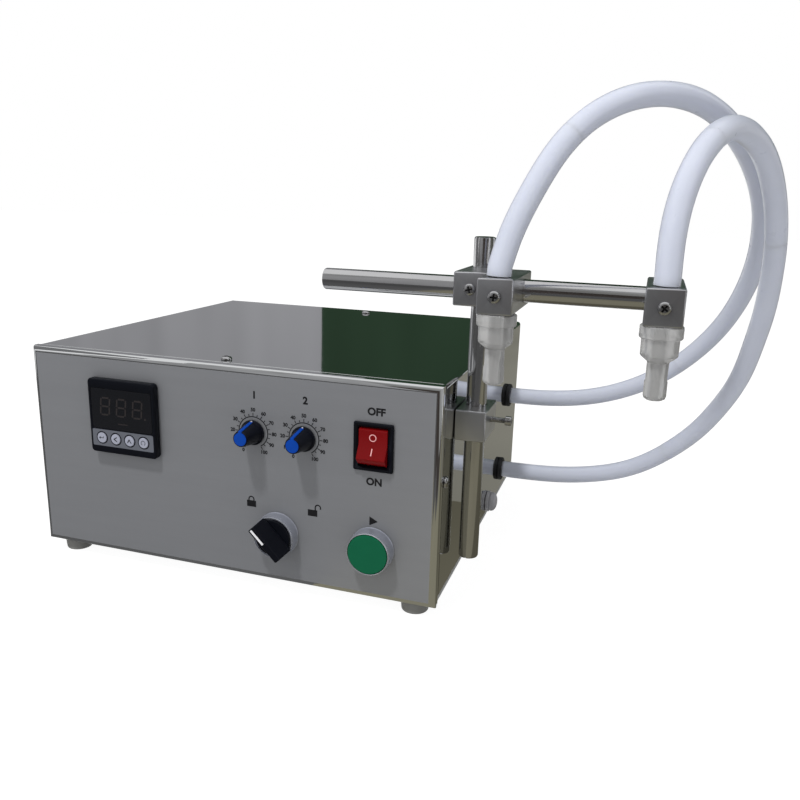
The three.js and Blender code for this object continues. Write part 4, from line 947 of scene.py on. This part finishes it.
class FILLER_OT_printing(Operator):
    """Prints the dials, words and signs of the panel"""

    bl_idname = "filler.printing"
    bl_label = "Panel printing"

    def execute(self, context):
        sizes = context.scene.filler_panel
        ink = sizes.ink_thick / MM
        low, high = -ink - INK_LIFT, -INK_LIFT
        face = (low + high) / 2
        for number, place in enumerate(KNOB_PLACES, 1):
            printed(f"dial_{number}_print", self.dial(number, place, low, high))
        marks = [
            words("OFF", sizes.letter_height, (246.1, 121.0), face),
            words("ON", sizes.letter_height, (245.5, 77.4), face),
        ]
        printed("switch_print", join_meshes(bmesh.new(), marks))
        locks = bmesh.new()
        for x, open_by in ((163.1, 0.0), (205.4, 0.9)):
            merge(locks, self.padlock(x, 52.6, open_by, low, high))
        printed("lock_print", locks)
        triangle = [(243.0, 49.4), (248.4, 52.3), (243.0, 55.2)]
        printed("start_print", pulled(triangle, "y", low, high))
        return {"FINISHED"}

    def dial(self, number, place, low, high):
        """A knob's ring with its ticks and numbers, and the knob's own number over it."""
        sizes = bpy.context.scene.filler_panel
        x, z = place
        face = (low + high) / 2
        ticks, numbers = 21, 11
        tick_wide, tick_from, numbers_at = 0.5, 10.4, 14.3
        bm = open_ring(x, z, 9.6, 10.2, low, high)
        for i in range(ticks):
            long = 1.2 if i % 2 else 1.9
            angle = math.radians(2 * DIAL_SWEEP * i / (ticks - 1) - DIAL_SWEEP)
            tick = bar((tick_wide, high - low, long), (0, face, tick_from + long / 2), angle)
            bmesh.ops.translate(tick, vec=at(x, 0, z), verts=tick.verts)
            merge(bm, tick)
        meshes = []
        for i in range(numbers):
            angle = math.radians(2 * DIAL_SWEEP * i / (numbers - 1) - DIAL_SWEEP)
            spot = (x + numbers_at * math.sin(angle), z + numbers_at * math.cos(angle))
            meshes.append(words(str(10 * i), sizes.number_height, spot, face))
        meshes.append(words(str(number), sizes.letter_height, (x + 1, 123.0), face))
        return join_meshes(bm, meshes)

    def padlock(self, x, z, open_by, low, high):
        """A plain padlock sign: a body and a shackle, lifted and turned out when it's open."""
        bm = block((x - 3.2, low, z - 3.2), (x + 3.2, high, z + 1.0))
        shift = 3.6 if open_by else 0.0
        rise = z + 1.9 + open_by
        merge(bm, open_ring(x + shift, rise, 1.35, 2.15, low, high, sweep=90, steps=16))
        for side in (-1, 1):
            foot = z + 0.9 if side < 0 or not open_by else rise - 0.9
            middle = x + shift + side * 1.75
            merge(bm, block((middle - 0.4, low, foot), (middle + 0.4, high, rise + 0.05)))
        return bm


def open_ring(x, z, inner, outer, low, high, sweep=DIAL_SWEEP, steps=60):
    """A flat ring on the panel that is open below: it reaches a sweep each way from straight up."""
    bm = bmesh.new()
    corners = [(inner, -low), (outer, -low), (outer, -high), (inner, -high)]
    bm.faces.new([bm.verts.new((0, -a * MM, r * MM)) for r, a in corners])
    start = Matrix.Rotation(math.radians(-sweep), 3, "Y")
    bmesh.ops.rotate(bm, cent=(0, 0, 0), matrix=start, verts=bm.verts)
    bmesh.ops.spin(
        bm, geom=bm.faces[:], cent=(0, 0, 0), axis=(0, 1, 0), dvec=(0, 0, 0),
        angle=math.radians(2 * sweep), steps=steps, use_duplicate=False,
    )
    bmesh.ops.recalc_face_normals(bm, faces=bm.faces)
    bmesh.ops.translate(bm, vec=at(x, 0, z), verts=bm.verts)
    return bm


class FILLER_OT_meter(Operator):
    """Builds the panel meter's bezel, smoky window, unlit digits, key strip and keys"""

    bl_idname = "filler.meter"
    bl_label = "Panel meter"

    def execute(self, context):
        x, z = METER_PLACE
        paint("meter_clamp", "black_plastic")
        copy_of("meter_housing", "meter_bezel", "black_plastic", "housing")
        half_wide, half_tall, middle = 22.75, 13.5, z + 5.3
        pane = round_corners(x - half_wide, middle - half_tall, x + half_wide, middle + half_tall, 1.75)
        pane = pulled(pane, "y", WINDOW_FACE, WINDOW_FACE + 1.1, 0.12)
        piece("meter_pane", pane, "smoky_window", "housing", "meter_window")
        digits = bmesh.new()
        for shift in (-12.2, 0, 12.2):
            merge(digits, self.digit(x + shift, z + 7.0))
        self.mark(digits, x + 17.8, z + 1.2, 1.2, 1.2)
        self.mark(digits, x + 0.6, z - 4.05, 7.2, 0.7)
        printed("meter_digits", digits, "smoky_window", material="digit_grey")
        strip = round_corners(x - 23.2, z - 20.3, x + 23.2, z - 9.0, 0.9)
        strip = pulled(strip, "y", KEY_PLANE - 0.08, KEY_PLANE + 0.02)
        self.keys(printed("meter_key_strip", strip, "black_plastic", material="key_strip"), x, z - 14.6)
        return {"FINISHED"}

    def keys(self, strip, x, z, pitch=10.6):
        """The four keys with their signs and rims, in round holes of the strip."""
        hole = [(0, -1), (3.85, -1), (3.85, 1), (0, 1)]
        rim = [(3.66, -0.2), (4.3, -0.2), (4.3, 0.16), (3.66, 0.16), (3.66, -0.2)]
        key = [(0, -2.3), (3.5, -2.3), (3.5, 0.35), (3.35, 0.6), (3.0, 0.7), (0, 0.72)]
        rims = bmesh.new()
        for i in range(4):
            name = f"meter_key_{i + 1}"
            key_x = x + (i - 1.5) * pitch
            centre = at(key_x, KEY_PLANE, z)
            cut_from(strip, turned(hole, centre, FRONT, 48))
            merge(rims, turned(rim, centre, FRONT, 48))
            piece(f"{name}_button", turned(key, centre, FRONT, 48), "key_grey", name, name)
            printed(f"{name}_sign", self.sign(i, key_x, z), "key_grey", name)
        piece("meter_key_rims", rims, "black_plastic", "housing")

    def mark(self, bm, x, z, wide, tall):
        """Adds a thin rectangle in the window's face."""
        low = (x - wide / 2, WINDOW_FACE - 0.02, z - tall / 2)
        high = (x + wide / 2, WINDOW_FACE + 0.01, z + tall / 2)
        merge(bm, block(low, high))

    def digit(self, x, z, wide=6.6, tall=11.4, thick=1.1, slant=0.1):
        """A seven-segment figure, all of it unlit."""
        bm = bmesh.new()
        for level in (-1, 0, 1):
            self.mark(bm, x, z + level * tall / 2, wide - 1.6, thick)
        for side in (-1, 1):
            for level in (-1, 1):
                self.mark(bm, x + side * wide / 2, z + level * tall / 4, thick, tall / 2 - 0.9)
        for v in bm.verts:
            v.co.x += slant * (v.co.z - at(0, 0, z).z)
        return bm

    def sign(self, i, x, z):
        """The dark sign on a key: a return bar, an arrow to the left, an arrow up or a round arrow."""
        low, high = KEY_PLANE - 0.76, KEY_PLANE - 0.715
        if i == 3:
            return open_ring(x, z, 1.3, 1.65, low, high, steps=24)
        outline = (
            [(x - 2.1, z), (x - 0.9, z + 0.8), (x - 0.9, z - 0.8)],
            [(x - 1.6, z), (x + 1.2, z + 1.8), (x + 1.2, z + 1.1), (x - 0.5, z), (x + 1.2, z - 1.1),
             (x + 1.2, z - 1.8)],
            [(x, z + 1.5), (x - 1.8, z - 1.3), (x - 1.1, z - 1.3), (x, z + 0.4), (x + 1.1, z - 1.3),
             (x + 1.8, z - 1.3)],
        )[i]
        bm = pulled(outline, "y", low, high)
        if i == 0:
            merge(bm, block((x - 1.6, low, z - 0.2), (x + 1.5, high, z + 0.2)))
            merge(bm, block((x + 1.1, low, z - 0.2), (x + 1.5, high, z + 1.1)))
        return bm


class FILLER_OT_knobs(Operator):
    """Builds both knobs with their coloured caps and white dots"""

    bl_idname = "filler.knobs"
    bl_label = "Knobs"

    def execute(self, context):
        skirt = [
            (0, 0.8), (7.7, 0.8), (8.0, 1.05), (8.0, 1.75), (7.85, 1.95), (7.2, 2.2), (6.95, 2.6),
            (6.6, 5.2), (4.95, 16.2), (4.6, 16.72), (4.3, 16.8), (4.25, 16.6), (0, 16.6),
        ]
        top = [(0, 15.8), (4.15, 15.8), (4.15, 16.85), (3.95, 17.05), (3.4, 17.12), (0, 17.15)]
        dot = [(0, 0.0), (0.55, 0.0), (0.5, 0.12), (0, 0.14)]
        half_rib = 1.15
        for number, (x, z) in enumerate(KNOB_PLACES, 1):
            paint(f"potentiometer_{number}", "zinc")
            knob = f"knob_{number}"
            piece(f"{knob}_body", turned(skirt, at(x, 0, z), FRONT, 72), "black_plastic", knob, knob,
                  material="knob_black")
            rib = [
                (-17.05, z), (-17.05, z + 5.0), (-15.9, z + 5.3), (-5.4, z + 6.95), (-2.6, z + 7.35),
                (-2.6, z + 5.0), (-15.9, z),
            ]
            cap = turned(top, at(x, 0, z), FRONT, 64)
            merge(cap, pulled(rib, "x", x - half_rib, x + half_rib, 0.25))
            piece(f"{knob}_cap_top", cap, "blue_plastic", knob, f"knob_cap_{number}")
            piece(f"{knob}_dot", turned(dot, at(x, -2.2, z + 7.25), FRONT, 20), "blue_plastic", knob,
                  material="ink_white")
        return {"FINISHED"}


class FILLER_OT_rocker(Operator):
    """Builds the rocker switch with its marks"""

    bl_idname = "filler.rocker"
    bl_label = "Rocker switch"

    def execute(self, context):
        x, z = ROCKER_PLACE
        copy_of("rocker_frame", "rocker_surround", "black_plastic", "housing")
        tilt, corner, end = (math.radians(degrees) for degrees in (15, 44.4, -8))
        reach, pivot, half_wide = 12.2, 3.5, 9
        angles = [corner + (end - corner) * i / 8 for i in range(9)]
        arc = [(reach * math.sin(a), reach * math.cos(a)) for a in angles]
        valley = arc[0][0] - arc[0][1] * math.tan(tilt)
        spots = [(valley, 0.0)] + arc + [(-5.0, 0.0)] + [(out, -rise) for out, rise in reversed(arc)]
        outline = [
            (pivot - (out * math.cos(tilt) - rise * math.sin(tilt)),
             z + rise * math.cos(tilt) + out * math.sin(tilt))
            for out, rise in spots
        ]
        face = pulled(outline, "x", x - half_wide, x + half_wide)
        soften(face, 0.45, segments=3, angle=40)
        pin = [(0, -10.1), (1.6, -10.1), (1.6, 10.1), (0, 10.1)]
        merge(face, turned(pin, at(x, pivot, z), RIGHT, 24))
        piece("rocker_face", face, "red_plastic", "rocker", "rocker")
        circle = [(1.75, -0.1), (2.25, -0.1), (2.25, 0.09), (1.75, 0.09), (1.75, -0.1)]
        line = bar((0.6, 4.4, 0.2))
        lean = Matrix.Rotation(math.radians(60), 4, "X")
        line.transform(Matrix.Translation(at(x, -4.62, z - 2.1)) @ lean)
        marks = merge(turned(circle, at(x, -2.49, z + 6.1), FRONT, 40), line)
        printed("rocker_marks", marks, "red_plastic", "rocker", "ink_pink")
        return {"FINISHED"}


def unit_bezel(place, proud, inner):
    """The outer ring of a round panel unit, with a front rim of its own, whose lighter finish is a
    painted highlight.
    """
    x, z = place
    floor = proud - (7.0 if proud > 9 else 1.2)
    bore = inner + 0.3
    body = [
        (7, -12), (11, -12), (11, -6.25), (14, -6.25), (14, -1.75), (11, -1.75), (11, CLEARANCE),
        (14.0, CLEARANCE), (14.2, 0.45), (14.2, 1.0), (13.95, 1.25), (13.65, proud - 0.9),
        (13.55, proud - 0.75), (bore, proud - 0.75), (bore, floor), (7, floor), (7, -12),
    ]
    rim = [
        (bore, proud - 0.8), (13.6, proud - 0.8), (13.5, proud - 0.25), (13.25, proud),
        (inner + 0.55, proud), (bore, proud - 0.2), (bore, proud - 0.8),
    ]
    return [turned(profile, at(x, 0, z), FRONT, 80) for profile in (body, rim)]


class FILLER_OT_units(Operator):
    """Builds the selector and the start button with their bezels, and finishes their contact blocks"""

    bl_idname = "filler.units"
    bl_label = "Selector and start button"

    def execute(self, context):
        for name in ("selector_contact_block", "start_contact_block"):
            paint(name, "black_plastic")
        for unit, place, proud, inner in (
            ("selector", SELECTOR_PLACE, 8.6, 12.9),
            ("start", START_PLACE, 9.5, 12.6),
        ):
            body, rim = unit_bezel(place, proud, inner)
            piece(f"{unit}_ring", body, "bezel_grey", "housing", f"{unit}_bezel")
            # The rim is painted lighter than the ring as a painted highlight
            piece(f"{unit}_rim", rim, "bezel_grey", "housing", material="bezel_rim_highlight")
        x, z = START_PLACE
        top = [
            (0, -9.1), (6, -9.1), (6, 6.9), (12.6, 6.9), (12.6, 9.3), (12.45, 9.65), (12.1, 9.85),
            (11.0, 9.9), (0, 9.9),
        ]
        piece("start_button_top", turned(top, at(x, 0, z), FRONT, 80), "green_plastic", "start_button",
              "start_button")
        self.lever(*SELECTOR_PLACE)
        return {"FINISHED"}

    def lever(self, x, z):
        """The selector's disc with a tapered bar across it and a white line, at its rest turn."""
        face, high, slim = 9.2, 11.3, 4 / 12
        disc = [(0, -8.35), (6, -8.35), (6, 7.2), (11.9, 7.2), (11.9, 8.9), (11.65, face), (0, face)]
        handle = turned(disc, Vector((0, 0, 0)), FRONT, 80)
        grip = bar((12, high, 26.4), (0, -(face + high / 2), 0))
        for v in grip.verts:
            if v.co.y < -(face + high / 2) * MM:
                v.co.x *= slim
                v.co.z *= 0.985
        soften(grip, 0.9, segments=4)
        merge(handle, grip)
        line = bar((1.5, 0.12, 11.5), (0, -20.53, 6.4))
        turn = Matrix.Translation(at(x, 0, z)) @ Matrix.Rotation(math.radians(-45), 4, "Y")
        for bm in (handle, line):
            bm.transform(turn)
        piece("selector_handle", handle, "black_plastic", "selector_lever", "selector_lever")
        printed("selector_line", line, "black_plastic", "selector_lever", "ink_white")


class FILLER_OT_side(Operator):
    """Builds the grommets and the gland on the right side"""

    bl_idname = "filler.side"
    bl_label = "Side fittings"

    def execute(self, context):
        collar = [
            (6.75, -4.6), (8.6, -4.6), (9.4, -3.8), (9.4, -1.45), (8, -1.45), (8, CLEARANCE),
            (9.3, CLEARANCE), (9.4, 0.5), (9.4, 2.3), (9.1, 3.0), (8.3, 3.4), (7.2, 3.4), (6.75, 3.1),
            (6.75, -4.6),
        ]
        for level, (y, z) in zip(("upper", "lower"), GROMMET_PLACES):
            shape = turned(collar, at(HOUSING_WIDTH, y, z), RIGHT)
            piece(f"grommet_{level}_ring", shape, "black_rubber", "housing", f"grommet_{level}")
        angles = [math.pi / 2 * i / 10 for i in range(10)]
        dome = [(7.4 * math.cos(a) ** 0.8, 3.9 + 4.3 * math.sin(a)) for a in angles] + [(0, 8.2)]
        profile = [
            (0, -6.9), (8, -6.9), (8, -2.9), (5, -2.9), (5, CLEARANCE), (7.8, CLEARANCE), (8, 0.45),
            (8, 2.4), (7.8, 2.6), (6.9, 2.7), (6.9, 3.2), (7.3, 3.4), *dome,
        ]
        shape = turned(profile, at(HOUSING_WIDTH, 152, 14.6), RIGHT)
        piece("side_gland_dome", shape, "gland_grey", "housing", "side_gland")
        for i in (1, 2):
            paint(f"inner_hose_{i}", "milky_hose")
        return {"FINISHED"}


class FILLER_OT_stand(Operator):
    """Builds the two rods, finishes the clamp blocks and makes their screws"""

    bl_idname = "filler.stand"
    bl_label = "Rod stand"

    def execute(self, context):
        x, y = MAST_PLACE
        end = [(0, 0), (ROD_RADIUS - 1, 0), (ROD_RADIUS - 0.3, 0.3), (ROD_RADIUS, 1)]
        for node, place, toward, long in (
            ("mast", at(x, y, 18), UP, 204.0),
            ("arm", at(205.3, ARM_Y, ROD_Z), RIGHT, 201.9),
        ):
            profile = end + [(r, long - a) for r, a in reversed(end)]
            piece(f"{node}_rod", turned(profile, place, toward, 96), "bright_steel", node, node)
        for node, name, body in (
            ("lower_clamp_block", "lower_clamp_bar", "housing"),
            ("cross_block", "cross_bar", "head"),
            ("nozzle_block_1", "nozzle_bar_1", "nozzle_unit_1"),
            ("nozzle_block_2", "nozzle_bar_2", "nozzle_unit_2"),
        ):
            copy_of(node, name, "milled_aluminium", body)
        self.screw("arm_screw", "head", (CROSS_X, 9.7, ROD_Z), FRONT, 3.1, 0.3)
        self.screw("mast_screw", "head", (x, 56.0, ROD_Z), BACK, 3.4, 1.1)
        for i, (nozzle_x, _) in enumerate(NOZZLE_PLACES, 1):
            place = (nozzle_x, -18.0, ROD_Z)
            self.screw(f"nozzle_screw_{i}", f"nozzle_unit_{i}", place, FRONT, 4.3, 0.5 + i)
        self.clamp_screw(x, y, 111.5)
        return {"FINISHED"}

    def screw(self, node, body, place, toward, grip, turn):
        """A set screw with a cross recess, its shank as long as its grip, its cross at a turn."""
        top = 2.6
        profile = [
            (0, -grip), (1.9, -grip), (1.9, CLEARANCE), (3.2, CLEARANCE), (3.4, 0.45), (3.4, 1.2),
            (3.2, 1.75), (2.7, 2.25), (2.1, 2.55), (1.5, top), (0, top),
        ]
        made = piece(f"{node}_head", turned(profile, at(*place), toward, 48), "bright_steel", body,
                     node, material="screw_steel")
        cross_cut(made, at(*place) + toward * top * MM, toward, long=3.9, wide=0.95, deep=1.3, turn=turn)

    def clamp_screw(self, x, y, z):
        """The lower clamp's long screw with its threads, from the mast to its head."""
        face = CROSS_X + BAR_SIDE / 2
        inner = x + ROD_RADIUS + CLEARANCE - face
        top, pitch, crest, root = 13.0, 0.7, 1.8, 1.5
        profile = [(0, inner), (crest, inner), (crest, 0.4)]
        for i in range(12):
            profile += [(crest, 0.5 + i * pitch), (root, 0.85 + i * pitch)]
        profile += [
            (crest, 9.0), (2.8, 9.0), (3.0, 9.2), (3.0, 12.2), (2.7, 12.8), (2.2, top), (0, top),
        ]
        made = piece("lower_clamp_screw_shank", turned(profile, at(face, y, z), RIGHT, 40),
                     "bright_steel", "housing", "lower_clamp_screw", material="screw_steel")
        cross_cut(made, at(face + top, y, z), RIGHT, long=3.4, wide=0.9, deep=1.2, turn=0.4)


class FILLER_OT_nozzles(Operator):
    """Builds the two milky filling nozzles"""

    bl_idname = "filler.nozzles"
    bl_label = "Nozzles"

    def execute(self, context):
        bore, spigot = 3, 5.5
        steps = [
            (10.3, 0), (10.75, 0.5), (10.75, 5.8), (10.4, 6.3), (9.5, 6.4), (9.4, 6.9), (9.3, 14.9),
            (8.9, 15.6), (5.9, 18.0), (5.4, 18.7), (5.3, 27.8), (5.7, 28.5), (5.75, 35.9), (5.3, 37.2),
            (4.1, 38.0), (2, 38.0), (2, 28.3), (bore, 18.3),
        ]
        profile = [(bore, HEAD_TOP), (spigot, HEAD_TOP), (spigot, COLLAR_TOP)]
        profile += [(r, COLLAR_TOP - down) for r, down in steps] + [(bore, HEAD_TOP)]
        for i, (x, y) in enumerate(NOZZLE_PLACES, 1):
            shape = turned(profile, at(x, y, 0), UP)
            piece(f"nozzle_{i}_body", shape, "milky_plastic", f"nozzle_unit_{i}", f"nozzle_{i}")
        return {"FINISHED"}


class FILLER_OT_inside(Operator):
    """Finishes the pumps, the power supply, the board and the inlet"""

    bl_idname = "filler.inside"
    bl_label = "Inside and rear"

    def execute(self, context):
        for i in (1, 2):
            paint(f"pump_motor_{i}", "zinc")
            paint(f"pump_head_{i}", "milled_aluminium")
        paint("power_supply", "plain_sheet")
        paint("control_board", "board_green")
        copy_of("mains_inlet", "mains_inlet_shell", "black_plastic", "housing")
        return {"FINISHED"}


STEPS = (
    FILLER_OT_camera, FILLER_OT_hoses, FILLER_OT_stage, FILLER_OT_housing, FILLER_OT_printing,
    FILLER_OT_meter, FILLER_OT_knobs, FILLER_OT_rocker, FILLER_OT_units, FILLER_OT_side,
    FILLER_OT_stand, FILLER_OT_nozzles, FILLER_OT_inside,
)


class FILLER_PT_panel(Panel):
    """Lists the steps that dress the machine"""

    bl_idname = "FILLER_PT_panel"
    bl_label = "Liquid filling machine"
    bl_space_type = "VIEW_3D"
    bl_region_type = "UI"
    bl_category = "Filler"

    def draw(self, context):
        scene = context.scene
        for group in GROUPS:
            settings = getattr(scene, group)
            box = self.layout.box()
            for name in settings.bl_rna.properties.keys():
                if name not in ("rna_type", "name"):
                    box.prop(settings, name)
        for step in STEPS:
            self.layout.operator(step.bl_idname)


GROUPS = {
    "filler_camera": FILLER_PG_camera,
    "filler_hoses": FILLER_PG_hoses,
    "filler_stage": FILLER_PG_stage,
    "filler_finish": FILLER_PG_finish,
    "filler_panel": FILLER_PG_panel,
}


def register():
    for made in (*GROUPS.values(), *STEPS, FILLER_PT_panel):
        bpy.utils.register_class(made)
    for name, group in GROUPS.items():
        setattr(bpy.types.Scene, name, PointerProperty(type=group))


def unregister():
    for name in GROUPS:
        delattr(bpy.types.Scene, name)
    for made in reversed((*GROUPS.values(), *STEPS, FILLER_PT_panel)):
        bpy.utils.unregister_class(made)


def main():
    """Dresses the machine step by step."""
    register()
    for step in STEPS:
        group, name = step.bl_idname.split(".")
        getattr(getattr(bpy.ops, group), name)()


if __name__ == "__main__":
    main()
